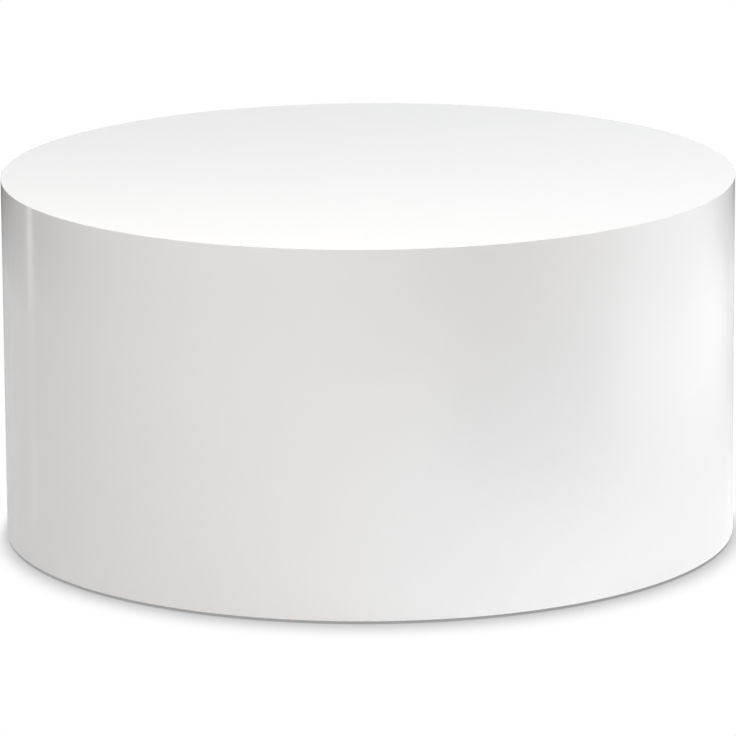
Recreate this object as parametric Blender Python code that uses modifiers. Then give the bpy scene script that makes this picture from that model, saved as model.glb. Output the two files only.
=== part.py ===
"""Round drum coffee table in white lacquer, at full size.

A ring-and-rib carcass carries a round top and a skin bent in two halves. The drum stands on
levellers that are wound right in, so that a narrow shadow gap shows along the floor.
Metres, +Z up. The origin is on the floor, on the drum's axis, and the front faces -Y.
"""

import math

import bmesh
import bpy

# Drum
TABLE_DIAMETER = 0.800
TABLE_HEIGHT = 0.400
SHADOW_GAP = 0.003
TOP_THICKNESS = 0.019
TOP_EDGE_RADIUS = 0.0015
SKIN_THICKNESS = 0.008

# Carcass: the middle ring is notched for the ribs, and RING_WEB is what lies inside the notches
RING_THICKNESS = 0.018
RING_WEB = 0.030
RIB_COUNT = 8
RIB_DEPTH = 0.050
RIB_THICKNESS = 0.018
FIRST_RIB_ANGLE = math.radians(22.5)

# Countersunk wood screws
SCREW_DIAMETER = 0.004
SCREW_HEAD_OVERHANG = 0.002
SCREW_HEAD_SINK = 0.0002
SCREW_POINT_LENGTH = 0.005
RECESS_WIDTH = 0.0011
RECESS_DEPTH = 0.0016
RECESS_WALL = 0.0003
TOP_COVER = 0.007
RIB_BITE = 0.032

# Levellers: a threaded stem turns in a nut in the base ring, and swivels in a foot
LEVELLER_COUNT = 4
LEVELLER_TRAVEL = 0.012
THREAD_DIAMETER = 0.008
THREAD_CHAMFER = 0.0008
STEM_RESERVE = 0.004
COLLAR_OVERHANG = 0.0025
COLLAR_HEIGHT = 0.004
SWIVEL_NECK_DIAMETER = 0.006
SWIVEL_HEAD_LIP = 0.0015
SWIVEL_HEAD_HEIGHT = 0.0016
FOOT_DIAMETER = 0.032
FOOT_CROWN_DIAMETER = 0.018
FOOT_RIM_HEIGHT = 0.0035
FOOT_FLOOR = 0.002
FOOT_ROOF = 0.0028
FOOT_EDGE_CHAMFER = 0.001
NUT_WALL = 0.0022
NUT_BARREL_LENGTH = 0.012
NUT_FLANGE_OVERHANG = 0.0045
NUT_FLANGE_THICKNESS = 0.0015

# Clearances: FIT_GAP lies between seated faces, RUNNING_GAP between faces that turn or slide
FIT_GAP = 0.0003
RUNNING_GAP = 0.0003

# Facets round a full turn
DRUM_FACETS = 96
EDGE_FACETS = 4
NUT_FACETS = 16
SCREW_FACETS = 8

# Edges that turn more than this are shaded sharp
SHARP_ANGLE = math.radians(35)

# How far a cutter runs past the face that it opens, and how close points are to be welded
CUT_RUN = 15 * FIT_GAP
WELD_DISTANCE = FIT_GAP / 30

# Places worked out from the driving dimensions
TABLE_RADIUS = TABLE_DIAMETER / 2
TOP_UNDERSIDE = TABLE_HEIGHT - TOP_THICKNESS
SKIN_TOP = TOP_UNDERSIDE - FIT_GAP
SKIN_INNER_RADIUS = TABLE_RADIUS - SKIN_THICKNESS
RING_OUTER_RADIUS = SKIN_INNER_RADIUS * math.cos(math.pi / DRUM_FACETS) - FIT_GAP
RING_INNER_RADIUS = RING_OUTER_RADIUS - RIB_DEPTH - RING_WEB
RING_MIDDLE_RADIUS = (RING_OUTER_RADIUS + RING_INNER_RADIUS) / 2

# A faceted bore's flats are nearer its axis than its corners, by this share
BORE_FLATNESS = math.cos(math.pi / NUT_FACETS)
THREAD_RADIUS = THREAD_DIAMETER / 2
COLLAR_ACROSS_FLATS = THREAD_DIAMETER + 2 * COLLAR_OVERHANG
NUT_BORE_RADIUS = (THREAD_RADIUS + RUNNING_GAP) / BORE_FLATNESS
NUT_BARREL_RADIUS = NUT_BORE_RADIUS + NUT_WALL
NUT_FLANGE_RADIUS = NUT_BARREL_RADIUS + NUT_FLANGE_OVERHANG
SWIVEL_NECK_RADIUS = SWIVEL_NECK_DIAMETER / 2
SWIVEL_HEAD_RADIUS = SWIVEL_NECK_RADIUS + SWIVEL_HEAD_LIP
SWIVEL_HEAD_BOTTOM = FOOT_FLOOR + RUNNING_GAP
SWIVEL_HEAD_TOP = SWIVEL_HEAD_BOTTOM + SWIVEL_HEAD_HEIGHT
FOOT_TOP = SWIVEL_HEAD_TOP + RUNNING_GAP + FOOT_ROOF
COLLAR_BOTTOM = FOOT_TOP + RUNNING_GAP
COLLAR_TOP = COLLAR_BOTTOM + COLLAR_HEIGHT
NUT_BOTTOM = COLLAR_TOP + RUNNING_GAP
BASE_RING_BOTTOM = NUT_BOTTOM + NUT_FLANGE_THICKNESS + FIT_GAP
BASE_RING_TOP = BASE_RING_BOTTOM + RING_THICKNESS
STEM_TOP = NUT_BOTTOM + NUT_FLANGE_THICKNESS + NUT_BARREL_LENGTH + LEVELLER_TRAVEL + STEM_RESERVE

UPPER_RING_TOP = TOP_UNDERSIDE - FIT_GAP
UPPER_RING_BOTTOM = UPPER_RING_TOP - RING_THICKNESS
RIB_BOTTOM = BASE_RING_TOP + FIT_GAP
RIB_TOP = UPPER_RING_BOTTOM - FIT_GAP
RIB_LENGTH = RIB_TOP - RIB_BOTTOM
RIB_OUTER_FACE = math.sqrt(RING_OUTER_RADIUS**2 - (RIB_THICKNESS / 2) ** 2)
RIB_CENTRE_RADIUS = RIB_OUTER_FACE - RIB_DEPTH / 2
MIDDLE_RING_BOTTOM = (RIB_BOTTOM + RIB_TOP - RING_THICKNESS) / 2

SCREW_RADIUS = SCREW_DIAMETER / 2
SCREW_HEAD_RADIUS = SCREW_RADIUS + SCREW_HEAD_OVERHANG
SCREW_HEAD_HEIGHT = SCREW_HEAD_OVERHANG
RECESS_SPAN = 2 * (SCREW_HEAD_RADIUS - RECESS_DEPTH - RECESS_WALL)
TOP_SCREW_LENGTH = RING_THICKNESS - SCREW_HEAD_SINK + FIT_GAP + TOP_THICKNESS - TOP_COVER
RIB_SCREW_LENGTH = RING_THICKNESS - SCREW_HEAD_SINK + FIT_GAP + RIB_BITE

BAY_ANGLE = 2 * math.pi / RIB_COUNT
RIB_ANGLES = [FIRST_RIB_ANGLE + BAY_ANGLE * i for i in range(RIB_COUNT)]
BAY_ANGLES = [angle + BAY_ANGLE / 2 for angle in RIB_ANGLES]
LEVELLER_ANGLES = [BAY_ANGLES[i * RIB_COUNT // LEVELLER_COUNT] for i in range(LEVELLER_COUNT)]
SEAM_ANGLES = (RIB_ANGLES[0], RIB_ANGLES[RIB_COUNT // 2])
QUARTER_TURN = (0, 0, math.pi / 2)

# Holes are turned by half a facet, so that none of their corners falls on a ring's facet edge
SCREW_TWIST = math.pi / SCREW_FACETS
UPWARD_SCREW = (math.pi, 0, SCREW_TWIST)
DOWNWARD_SCREW = (0, 0, SCREW_TWIST)
NUT_HOLE_TURN = (0, 0, math.pi / NUT_FACETS)


def clear_scene():
    """Removes every object, so that only the table is left."""
    for thing in list(bpy.data.objects):
        bpy.data.objects.remove(thing)


def new_collection(name):
    """A collection of that name in the scene."""
    collection = bpy.data.collections.new(name)
    bpy.context.scene.collection.children.link(collection)
    return collection


def new_finish(name, colour, roughness, metallic=0.0):
    """A Principled material with one colour."""
    material = bpy.data.materials.new(name)
    material.use_nodes = True
    shader = material.node_tree.nodes["Principled BSDF"]
    shader.inputs["Base Color"].default_value = (*colour, 1.0)
    shader.inputs["Roughness"].default_value = roughness
    shader.inputs["Metallic"].default_value = metallic
    return material


clear_scene()
PARTS = new_collection("drum_coffee_table")
CUTTERS = new_collection("cutters")
WHITE_LACQUER = new_finish("white_lacquer", (0.83, 0.83, 0.82), 0.28)
RAW_FIBREBOARD = new_finish("raw_fibreboard", (0.42, 0.29, 0.17), 0.85)
POPLAR_PLYWOOD = new_finish("poplar_plywood", (0.62, 0.47, 0.30), 0.75)
ZINC_PLATED_STEEL = new_finish("zinc_plated_steel", (0.60, 0.60, 0.58), 0.35, 1.0)
BLACK_NYLON = new_finish("black_nylon", (0.025, 0.025, 0.027), 0.50)


def add_piece(name, mesh, finish=None, parent=None, location=(0, 0, 0), rotation=(0, 0, 0)):
    """A named piece of the table, or a wire cutter where it has no finish."""
    piece = bpy.data.objects.new(name, mesh)
    piece.location = location
    piece.rotation_euler = rotation
    piece.parent = parent
    if finish:
        PARTS.objects.link(piece)
        if not mesh.materials:
            mesh.materials.append(finish)
    else:
        CUTTERS.objects.link(piece)
        piece.hide_render = True
        piece.display_type = "WIRE"
    return piece


def add_frame(name, parent=None, location=(0, 0, 0), rotation=(0, 0, 0)):
    """An empty that carries pieces."""
    frame = bpy.data.objects.new(name, None)
    PARTS.objects.link(frame)
    frame.location = location
    frame.rotation_euler = rotation
    frame.parent = parent
    return frame


def shade(mesh):
    """Shades a mesh smooth, apart from its sharp edges."""
    mesh.shade_smooth()
    mesh.set_sharp_from_angle(angle=SHARP_ANGLE)


def combine(piece, other, operation="DIFFERENCE"):
    """Cuts the other object's shape out of a piece, or joins it on."""
    boolean = piece.modifiers.new(other.name, "BOOLEAN")
    boolean.operation = operation
    boolean.object = other


def baked(piece):
    """The piece's mesh with its modifiers applied. The piece itself is removed."""
    graph = bpy.context.evaluated_depsgraph_get()
    mesh = bpy.data.meshes.new_from_object(piece.evaluated_get(graph))
    mesh.name = piece.name
    bpy.data.objects.remove(piece)
    shade(mesh)
    return mesh


def turned_mesh(name, points, facets, closed=False):
    """A mesh turned round Z from (radius, height) points, which run down its outer side."""
    links = [(i, i + 1) for i in range(len(points) - 1)]
    if closed:
        links.append((len(points) - 1, 0))
    outline = bpy.data.meshes.new(name)
    outline.from_pydata([(radius, 0, height) for radius, height in points], links, [])
    piece = add_piece(name, outline)
    lathe = piece.modifiers.new("turned", "SCREW")
    lathe.steps = facets
    lathe.render_steps = facets
    lathe.use_merge_vertices = True
    lathe.merge_threshold = WELD_DISTANCE
    return baked(piece)


def box_mesh(name, size, centre=(0, 0, 0)):
    """A plain box mesh of that size round that centre."""
    bpy.ops.mesh.primitive_cube_add(size=1)
    cube = bpy.context.object
    mesh = cube.data
    mesh.name = name
    for corner in mesh.vertices:
        corner.co = [at * side + middle for at, side, middle in zip(corner.co, size, centre)]
    bpy.data.objects.remove(cube)
    return mesh


def prism_mesh(name, sides, across_flats, bottom, top):
    """A plain regular prism round Z."""
    corner_radius = across_flats / 2 / math.cos(math.pi / sides)
    bpy.ops.mesh.primitive_cylinder_add(vertices=sides, radius=corner_radius, depth=1)
    prism = bpy.context.object
    mesh = prism.data
    mesh.name = name
    for corner in mesh.vertices:
        corner.co.z = top if corner.co.z > 0 else bottom
    bpy.data.objects.remove(prism)
    return mesh


def polar(radius, angle, height):
    """A point at that radius and angle round the drum's axis."""
    return (radius * math.cos(angle), radius * math.sin(angle), height)


def ring_outline(outer, inner, bottom, top):
    """A square ring section, down its outer side first."""
    return [(outer, top), (outer, bottom), (inner, bottom), (inner, top)]


def screw_outline(length):
    """A countersunk wood screw, from the middle of its head at height 0 down to its point."""
    return [
        (0, 0),
        (SCREW_HEAD_RADIUS, 0),
        (SCREW_RADIUS, -SCREW_HEAD_HEIGHT),
        (SCREW_RADIUS, SCREW_POINT_LENGTH - length),
        (0, -length),
    ]


def screw_hole_outline(length):
    """The hole of such a screw, with its countersink carried past the face."""
    return [
        (0, CUT_RUN),
        (SCREW_HEAD_RADIUS + FIT_GAP, CUT_RUN),
        (SCREW_HEAD_RADIUS + FIT_GAP, -FIT_GAP),
        (SCREW_RADIUS + FIT_GAP, -SCREW_HEAD_HEIGHT - FIT_GAP),
        (SCREW_RADIUS + FIT_GAP, -length - FIT_GAP),
        (0, -length - FIT_GAP),
    ]


def screw_mesh(name, length):
    """A wood screw with a cross recess in its head."""
    screw = add_piece(name, turned_mesh(name, screw_outline(length), SCREW_FACETS))
    arm = box_mesh("recess_arm", (RECESS_SPAN, RECESS_WIDTH, 2 * RECESS_DEPTH))
    arms = [
        add_piece("recess_along", arm),
        add_piece("recess_across", arm, rotation=QUARTER_TURN),
    ]
    for recess in arms:
        combine(screw, recess)
    mesh = baked(screw)
    for recess in arms:
        bpy.data.objects.remove(recess)
    return mesh


def screw_meshes(name, length):
    """The meshes of a wood screw and of its hole."""
    hole = turned_mesh(f"{name}_hole", screw_hole_outline(length), SCREW_FACETS)
    return screw_mesh(name, length), hole


def add_top_panel(parent):
    """The round top, with a small radius along its upper edge."""
    outline = [(0, TABLE_HEIGHT)]
    for i in range(EDGE_FACETS + 1):
        lean = math.pi / 2 * i / EDGE_FACETS
        radius = TABLE_RADIUS - TOP_EDGE_RADIUS * (1 - math.sin(lean))
        height = TABLE_HEIGHT - TOP_EDGE_RADIUS * (1 - math.cos(lean))
        outline.append((radius, height))
    outline += [(TABLE_RADIUS, TOP_UNDERSIDE), (0, TOP_UNDERSIDE)]
    mesh = turned_mesh("top_panel", outline, DRUM_FACETS)
    return add_piece("top_panel", mesh, WHITE_LACQUER, parent)


def skin_mesh(name, sweep):
    """A bent board, as deep as the drum's side, swept through an angle from +X."""
    outline = ring_outline(TABLE_RADIUS, SKIN_INNER_RADIUS, SHADOW_GAP, SKIN_TOP)
    board = bmesh.new()
    end = board.faces.new([board.verts.new((radius, 0, height)) for radius, height in outline])
    facets = math.ceil(DRUM_FACETS * sweep / (2 * math.pi))
    section = [end, *end.edges, *end.verts]
    bmesh.ops.spin(board, geom=section, cent=(0, 0, 0), axis=(0, 0, 1), angle=sweep, steps=facets)
    bmesh.ops.recalc_face_normals(board, faces=board.faces)
    mesh = bpy.data.meshes.new(name)
    board.to_mesh(mesh)
    board.free()
    shade(mesh)
    return mesh


def add_skin(name, start, end, parent):
    """One bent half of the drum's side, from seam to seam."""
    seam = FIT_GAP / SKIN_INNER_RADIUS
    mesh = skin_mesh(name, end - start - seam)
    return add_piece(name, mesh, WHITE_LACQUER, parent, rotation=(0, 0, start + seam / 2))


def add_ring(name, bottom, parent):
    """A carcass ring."""
    outline = ring_outline(RING_OUTER_RADIUS, RING_INNER_RADIUS, bottom, bottom + RING_THICKNESS)
    mesh = turned_mesh(name, outline, DRUM_FACETS, closed=True)
    return add_piece(name, mesh, RAW_FIBREBOARD, parent)


def rib_mesh(screw_hole):
    """An upright rib, standing on height 0, with a screw hole in each end."""
    size = (RIB_DEPTH, RIB_THICKNESS, RIB_LENGTH)
    rib = add_piece("rib", box_mesh("rib", size, (0, 0, RIB_LENGTH / 2)))
    head_level = RING_THICKNESS + FIT_GAP - SCREW_HEAD_SINK
    lower_head = (0, 0, -head_level)
    upper_head = (0, 0, RIB_LENGTH + head_level)
    holes = [
        add_piece("lower_hole", screw_hole, location=lower_head, rotation=UPWARD_SCREW),
        add_piece("upper_hole", screw_hole, location=upper_head, rotation=DOWNWARD_SCREW),
    ]
    for hole in holes:
        combine(rib, hole)
    mesh = baked(rib)
    for hole in holes:
        bpy.data.objects.remove(hole)
    return mesh


def add_ribs(middle_ring, screw_hole, parent):
    """The upright ribs, each in a notch of the middle ring."""
    rib = rib_mesh(screw_hole)
    notch_inside = -RIB_DEPTH / 2 - FIT_GAP
    notch_outside = RIB_DEPTH / 2 + CUT_RUN
    notch_size = (notch_outside - notch_inside, RIB_THICKNESS + 2 * FIT_GAP, RIB_LENGTH)
    notch = box_mesh("notch", notch_size, ((notch_outside + notch_inside) / 2, 0, RIB_LENGTH / 2))
    for number, angle in enumerate(RIB_ANGLES, 1):
        place = polar(RIB_CENTRE_RADIUS, angle, RIB_BOTTOM)
        add_piece(f"rib_{number}", rib, POPLAR_PLYWOOD, parent, place, (0, 0, angle))
        cutter = add_piece(f"rib_{number}_notch", notch, None, parent, place, (0, 0, angle))
        combine(middle_ring, cutter)


def add_screws(name, meshes, places, upward, held, parent):
    """A set of wood screws, with their holes cut in the pieces that they hold."""
    screw, hole = meshes
    for number, (radius, angle, head_height) in enumerate(places, 1):
        place = polar(radius, angle, head_height)
        rotation = (math.pi if upward else 0, 0, angle + SCREW_TWIST)
        add_piece(f"{name}_{number}", screw, ZINC_PLATED_STEEL, parent, place, rotation)
        cutter = add_piece(f"{name}_{number}_hole", hole, None, parent, place, rotation)
        for piece in held:
            combine(piece, cutter)


def nut_mesh():
    """A flanged insert nut, standing on its flange at height 0."""
    height = NUT_FLANGE_THICKNESS + NUT_BARREL_LENGTH
    outline = [
        (NUT_BARREL_RADIUS, height),
        (NUT_BARREL_RADIUS, NUT_FLANGE_THICKNESS),
        (NUT_FLANGE_RADIUS, NUT_FLANGE_THICKNESS),
        (NUT_FLANGE_RADIUS, 0),
        (NUT_BORE_RADIUS, 0),
        (NUT_BORE_RADIUS, height),
    ]
    return turned_mesh("insert_nut", outline, NUT_FACETS, closed=True)


def stem_mesh():
    """A leveller's stem: a threaded shank, a hexagon collar, and a headed neck below it."""
    collar_middle = (COLLAR_BOTTOM + COLLAR_TOP) / 2
    outline = [
        (0, STEM_TOP),
        (THREAD_RADIUS - THREAD_CHAMFER, STEM_TOP),
        (THREAD_RADIUS, STEM_TOP - THREAD_CHAMFER),
        (THREAD_RADIUS, collar_middle),
        (SWIVEL_NECK_RADIUS, collar_middle),
        (SWIVEL_NECK_RADIUS, SWIVEL_HEAD_TOP),
        (SWIVEL_HEAD_RADIUS, SWIVEL_HEAD_TOP),
        (SWIVEL_HEAD_RADIUS, SWIVEL_HEAD_BOTTOM),
        (0, SWIVEL_HEAD_BOTTOM),
    ]
    stem = add_piece("stem", turned_mesh("stem", outline, NUT_FACETS))
    hexagon = prism_mesh("collar", 6, COLLAR_ACROSS_FLATS, COLLAR_BOTTOM, COLLAR_TOP)
    collar = add_piece("collar", hexagon)
    combine(stem, collar, "UNION")
    mesh = baked(stem)
    bpy.data.objects.remove(collar)
    return mesh


def foot_mesh():
    """A leveller's foot, with a pocket that holds the head of the stem's neck."""
    mouth = (SWIVEL_NECK_RADIUS + RUNNING_GAP) / BORE_FLATNESS
    pocket = (SWIVEL_HEAD_RADIUS + RUNNING_GAP) / BORE_FLATNESS
    pocket_top = SWIVEL_HEAD_TOP + RUNNING_GAP
    outline = [
        (0, FOOT_FLOOR),
        (pocket, FOOT_FLOOR),
        (pocket, pocket_top),
        (mouth, pocket_top),
        (mouth, FOOT_TOP),
        (FOOT_CROWN_DIAMETER / 2, FOOT_TOP),
        (FOOT_DIAMETER / 2, FOOT_RIM_HEIGHT),
        (FOOT_DIAMETER / 2, FOOT_EDGE_CHAMFER),
        (FOOT_DIAMETER / 2 - FOOT_EDGE_CHAMFER, 0),
        (0, 0),
    ]
    return turned_mesh("foot", outline, NUT_FACETS)


def add_levellers(base_ring, parent):
    """The levellers, each on a frame whose Z axis is the axis that its stem turns on."""
    nut = nut_mesh()
    stem = stem_mesh()
    foot = foot_mesh()
    hole_bottom = BASE_RING_BOTTOM - CUT_RUN
    hole_top = BASE_RING_TOP + CUT_RUN
    hole_size = 2 * (NUT_BARREL_RADIUS + FIT_GAP)
    hole = prism_mesh("insert_nut_hole", NUT_FACETS, hole_size, hole_bottom, hole_top)
    for number, angle in enumerate(LEVELLER_ANGLES, 1):
        place = polar(RING_MIDDLE_RADIUS, angle, 0)
        frame = add_frame(f"leveller_{number}", parent, place, (0, 0, angle))
        add_piece(f"insert_nut_{number}", nut, ZINC_PLATED_STEEL, frame, (0, 0, NUT_BOTTOM))
        add_piece(f"leveller_stem_{number}", stem, ZINC_PLATED_STEEL, frame)
        add_piece(f"leveller_foot_{number}", foot, BLACK_NYLON, frame)
        cutter = add_piece(f"insert_nut_{number}_hole", hole, None, frame, rotation=NUT_HOLE_TURN)
        combine(base_ring, cutter)


def build_table():
    """Puts the whole table together."""
    table = add_frame("drum_table")
    top_panel = add_top_panel(table)
    add_skin("rear_skin", SEAM_ANGLES[0], SEAM_ANGLES[1], table)
    add_skin("front_skin", SEAM_ANGLES[1], SEAM_ANGLES[0] + 2 * math.pi, table)
    upper_ring = add_ring("upper_ring", UPPER_RING_BOTTOM, table)
    middle_ring = add_ring("middle_ring", MIDDLE_RING_BOTTOM, table)
    base_ring = add_ring("base_ring", BASE_RING_BOTTOM, table)

    rib_screw = screw_meshes("rib_screw", RIB_SCREW_LENGTH)
    add_ribs(middle_ring, rib_screw[1], table)
    head_height = BASE_RING_BOTTOM + SCREW_HEAD_SINK
    places = [(RIB_CENTRE_RADIUS, angle, head_height) for angle in RIB_ANGLES]
    add_screws("rib_lower_screw", rib_screw, places, True, [base_ring], table)
    head_height = UPPER_RING_TOP - SCREW_HEAD_SINK
    places = [(RIB_CENTRE_RADIUS, angle, head_height) for angle in RIB_ANGLES]
    add_screws("rib_upper_screw", rib_screw, places, False, [upper_ring], table)

    top_screw = screw_meshes("top_screw", TOP_SCREW_LENGTH)
    head_height = UPPER_RING_BOTTOM + SCREW_HEAD_SINK
    places = [(RING_MIDDLE_RADIUS, angle, head_height) for angle in BAY_ANGLES]
    add_screws("top_screw", top_screw, places, True, [upper_ring, top_panel], table)

    add_levellers(base_ring, table)


build_table()
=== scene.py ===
"""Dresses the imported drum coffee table: white lacquer outside, raw boards and fixings inside.

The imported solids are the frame, and each piece here takes its place and size from them.
Metres, +Z up. The drum's axis is the Z axis, and the front faces -Y.
"""

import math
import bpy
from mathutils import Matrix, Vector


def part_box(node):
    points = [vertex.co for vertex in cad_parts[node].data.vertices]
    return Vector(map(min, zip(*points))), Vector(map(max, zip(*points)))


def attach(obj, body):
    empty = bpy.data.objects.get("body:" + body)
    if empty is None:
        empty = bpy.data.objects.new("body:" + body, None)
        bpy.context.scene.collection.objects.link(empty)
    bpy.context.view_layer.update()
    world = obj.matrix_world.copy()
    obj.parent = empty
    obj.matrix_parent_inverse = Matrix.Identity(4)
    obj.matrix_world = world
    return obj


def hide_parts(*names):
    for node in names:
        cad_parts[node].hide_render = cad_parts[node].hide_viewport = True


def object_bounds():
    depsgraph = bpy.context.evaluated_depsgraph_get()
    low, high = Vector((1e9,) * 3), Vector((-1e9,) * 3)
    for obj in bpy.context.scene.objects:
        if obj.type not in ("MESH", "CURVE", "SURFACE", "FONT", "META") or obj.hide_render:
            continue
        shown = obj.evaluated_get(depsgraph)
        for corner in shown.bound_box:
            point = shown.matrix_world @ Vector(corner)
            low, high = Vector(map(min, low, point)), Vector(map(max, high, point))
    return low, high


bl_info = {
    "name": "Drum Coffee Table",
    "version": (1, 0, 0),
    "blender": (4, 5, 0),
    "location": "3D View > Sidebar > Drum Table",
    "description": "Dresses a packed drum coffee table and sets up its studio",
    "category": "Object",
}

import bmesh
import bpy
from mathutils import Matrix, Vector

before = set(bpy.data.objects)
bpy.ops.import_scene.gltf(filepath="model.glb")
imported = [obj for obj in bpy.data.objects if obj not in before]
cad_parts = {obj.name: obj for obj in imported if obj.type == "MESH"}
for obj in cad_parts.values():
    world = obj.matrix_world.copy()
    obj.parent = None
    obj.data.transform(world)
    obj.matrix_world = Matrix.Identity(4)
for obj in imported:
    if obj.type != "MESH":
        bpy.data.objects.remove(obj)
CAD_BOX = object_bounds()

MM = 0.001
TURN = 2 * math.pi
ROOT = "drum"
COUNT_RIBS = sum(name.startswith("rib_") and name[4:].isdigit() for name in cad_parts)
COUNT_LEVELLERS = sum(name.startswith("leveller_foot_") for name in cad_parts)

# Meshes: where edges turn crisp, which points are one, and which faces are too thin to keep
SHARP_ANGLE = math.radians(25)
SAME_POINT = 0.001 * MM
SLIVER = 0.002 * MM

# Rounded edges: the share of the radius that a flat keeps as a row of its own beside the arc
FLAT_SHARE = 0.25

# The top: rows across both faces, as shares of its radius, that keep the disc's triangles short
TOP_ROWS = (0.25, 0.5, 0.75, 0.9, 0.97)

# Saw cuts behind the side: the points along the path from one cut to the next, two on the wood and
# two in the cut, and the share of the pitch over which each wall of a cut slopes
KERF_POINTS = 4
KERF_SLOPE = 0.04

# The side's faces stay raw where they turn outwards, and up or down, less than this
RAW_OUTWARD = 0.3
RAW_LEVEL = 0.5

# Wood screws: head, neck, thread, point, and the cross recess for the driver
SCREW_HEAD_RADIUS = 4 * MM
SCREW_HEAD_RIM = 0.3 * MM
SCREW_NECK_LENGTH = 2 * MM
SCREW_NECK_SWELL = 0.3 * MM
SCREW_CREST_RADIUS = 2 * MM
SCREW_CORE_RADIUS = 1.4 * MM
SCREW_POINT_LENGTH = 5 * MM
SCREW_SEGMENTS = 24
COUNTERSINK_RUN = 2 * MM
RECESS_SPAN = 4.4 * MM
RECESS_WIDTH = 1.0 * MM
RECESS_DEPTH = 1.6 * MM
RECESS_TAPER = 0.55
THREAD_STEPS = 20

# Levellers: an M8 stem with a hexagon collar, in a flanged nut, and a foot that swivels on it
STEM_CREST_RADIUS = 4 * MM
STEM_CORE_RADIUS = 3.35 * MM
STEM_NECK_RADIUS = 3 * MM
STEM_HEAD_RADIUS = 4.5 * MM
STEM_HEAD_BOTTOM = 2.3 * MM
STEM_HEAD_TOP = 3.9 * MM
STEM_RUN_OUT = 1 * MM
STEM_SEGMENTS = 40
COLLAR_BOTTOM = 7.3 * MM
COLLAR_TOP = 11.3 * MM
COLLAR_ACROSS_FLATS = 13 * MM
COLLAR_CHAMFER = 0.6 * MM
COLLAR_SLOPE = 0.5
COLLAR_SEGMENTS = 48
NUT_BORE_RADIUS = 4.35 * MM
NUT_BARREL_RADIUS = 6.5 * MM
NUT_FLANGE_THICKNESS = 1.5 * MM
NUT_EASE = 0.3 * MM
NUT_SEGMENTS = 48
NUT_HOLE_SEGMENTS = 32
NUT_PIN_HOLES = 3
NUT_PIN_HOLE_RADIUS = 1.1 * MM
NUT_PIN_SEGMENTS = 16
FOOT_CROWN_RADIUS = 9 * MM
FOOT_RIM_HEIGHT = 3.5 * MM
FOOT_MOUTH_RADIUS = 3.4 * MM
FOOT_POCKET_RADIUS = 4.9 * MM
FOOT_POCKET_FLOOR = 2 * MM
FOOT_POCKET_ROOF = 4.2 * MM
FOOT_ROUNDING = 0.8 * MM
FOOT_MOUTH_EASE = 0.2 * MM
FOOT_SEGMENTS = 64

# Numbers of the sockets of a Mix node that mixes colours
SHARE, FIRST, SECOND = 0, 6, 7
MIXED = 2

# Noise mostly lies in this span, which is spread over what a finish needs
NOISE_SPAN = {"From Min": 0.3, "From Max": 0.7}

# Plywood: the count of plies up to the board's middle plane, which lies halfway through one. It starts
# so far down that no count is negative. A glue line takes up this share of a ply
PLY_MIDDLE = 20.5
GLUE_SHARE = 0.07

# The paper floor
PAPER_COLOUR = "E8E8E8"
PAPER_RADIUS = 30
PAPER_SEGMENTS = 64

# The painted contact shadow: how soon it is full under the wall, how softly it starts, and the rays that find
# it
SHADOW_GAIN = 1.5
SHADOW_SOFTNESS = 1.3
SHADOW_RAYS = 16

# The paper floor's painted brightness in the gloss, from the drum's axis, with angles from the front to the
# right
PAPER_PAINTED_LEAN_TURN = math.radians(-55)
PAPER_LEAN_RUN = (0.4, 0.9)
PAPER_BRIGHT_TURN = math.radians(100)
PAPER_BRIGHT_SPAN = (-0.2, 0.5)
PAPER_FADE = (1.45, 2.0)
PAPER_FAR = 0.1
PAPER_SPOT = (1.75, 0.3, 0)
PAPER_SPOT_SPAN = (0.5, 1.2)
PAPER_CORNER = (1.0, -1.0, 0)
PAPER_CORNER_SPAN = (0.35, 0.8)

# The strip of light that the gloss mirrors: its place on the side, its run, and its strength along it
STREAK_TURN = math.radians(-64.3)
STREAK_SPREAD = 0.08
STREAK_START = 0.2
STREAK_END = 1.58
STREAK_HEIGHT = 1.3
STREAK_RISE = (1.35, 1.75)
STREAK_STRENGTH = (0.9, 1.15)

# Lamps: turn in degrees from the front to the right, distance from the axis, height, size, watts, colour
SOFTBOXES = {
    "left_softbox": (-45, 1.3, 1.6, (0.6, 0.6), 15.4, "FFFDFC"),
    "front_softbox": (15, 1.3, 1.6, (0.6, 0.6), 13.0, "FDF9F2"),
    "right_softbox": (90, 1.3, 1.6, (0.6, 0.6), 13.0, "F9FAFF"),
    "right_low_softbox": (98, 3.0, 0.46, (0.6, 0.6), 28.0, "FFFFFF"),
    "rear_left_softbox": (-150, 2.42, 0.85, (1.2, 1.0), 32.0, "FFF9F3"),
    "rear_softbox": (180, 2.0, 2.0, (1.2, 1.0), 14.5, "E6F3FF"),
    "front_card": (20, 0.75, 0.08, (0.4, 0.12), 0.27, "EDF4FF"),
}


def linear(hex_colour):
    """The linear colour, with alpha, of an sRGB hex value."""
    shares = [int(hex_colour[i : i + 2], 16) / 255 for i in (0, 2, 4)]
    return [*(s / 12.92 if s <= 0.04045 else ((s + 0.055) / 1.055) ** 2.4 for s in shares), 1.0]


def shaded(colour, share):
    """A linear colour made darker, by a share of its light."""
    return [*(channel * (1 - share) for channel in colour[:3]), 1.0]


def length_property(name, description, default):
    """A length that a user would change."""
    return bpy.props.FloatProperty(
        name=name, description=description, default=default, min=0, precision=4, unit="LENGTH"
    )


def strength_property(name, description, default):
    """A strength of light or shade that a user would change."""
    return bpy.props.FloatProperty(name=name, description=description, default=default, min=0)


def colour_property(name, description, hex_colour):
    """A colour that a user would change."""
    return bpy.props.FloatVectorProperty(
        name=name, description=description, default=linear(hex_colour), size=4, min=0, max=1, subtype="COLOR"
    )


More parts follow.
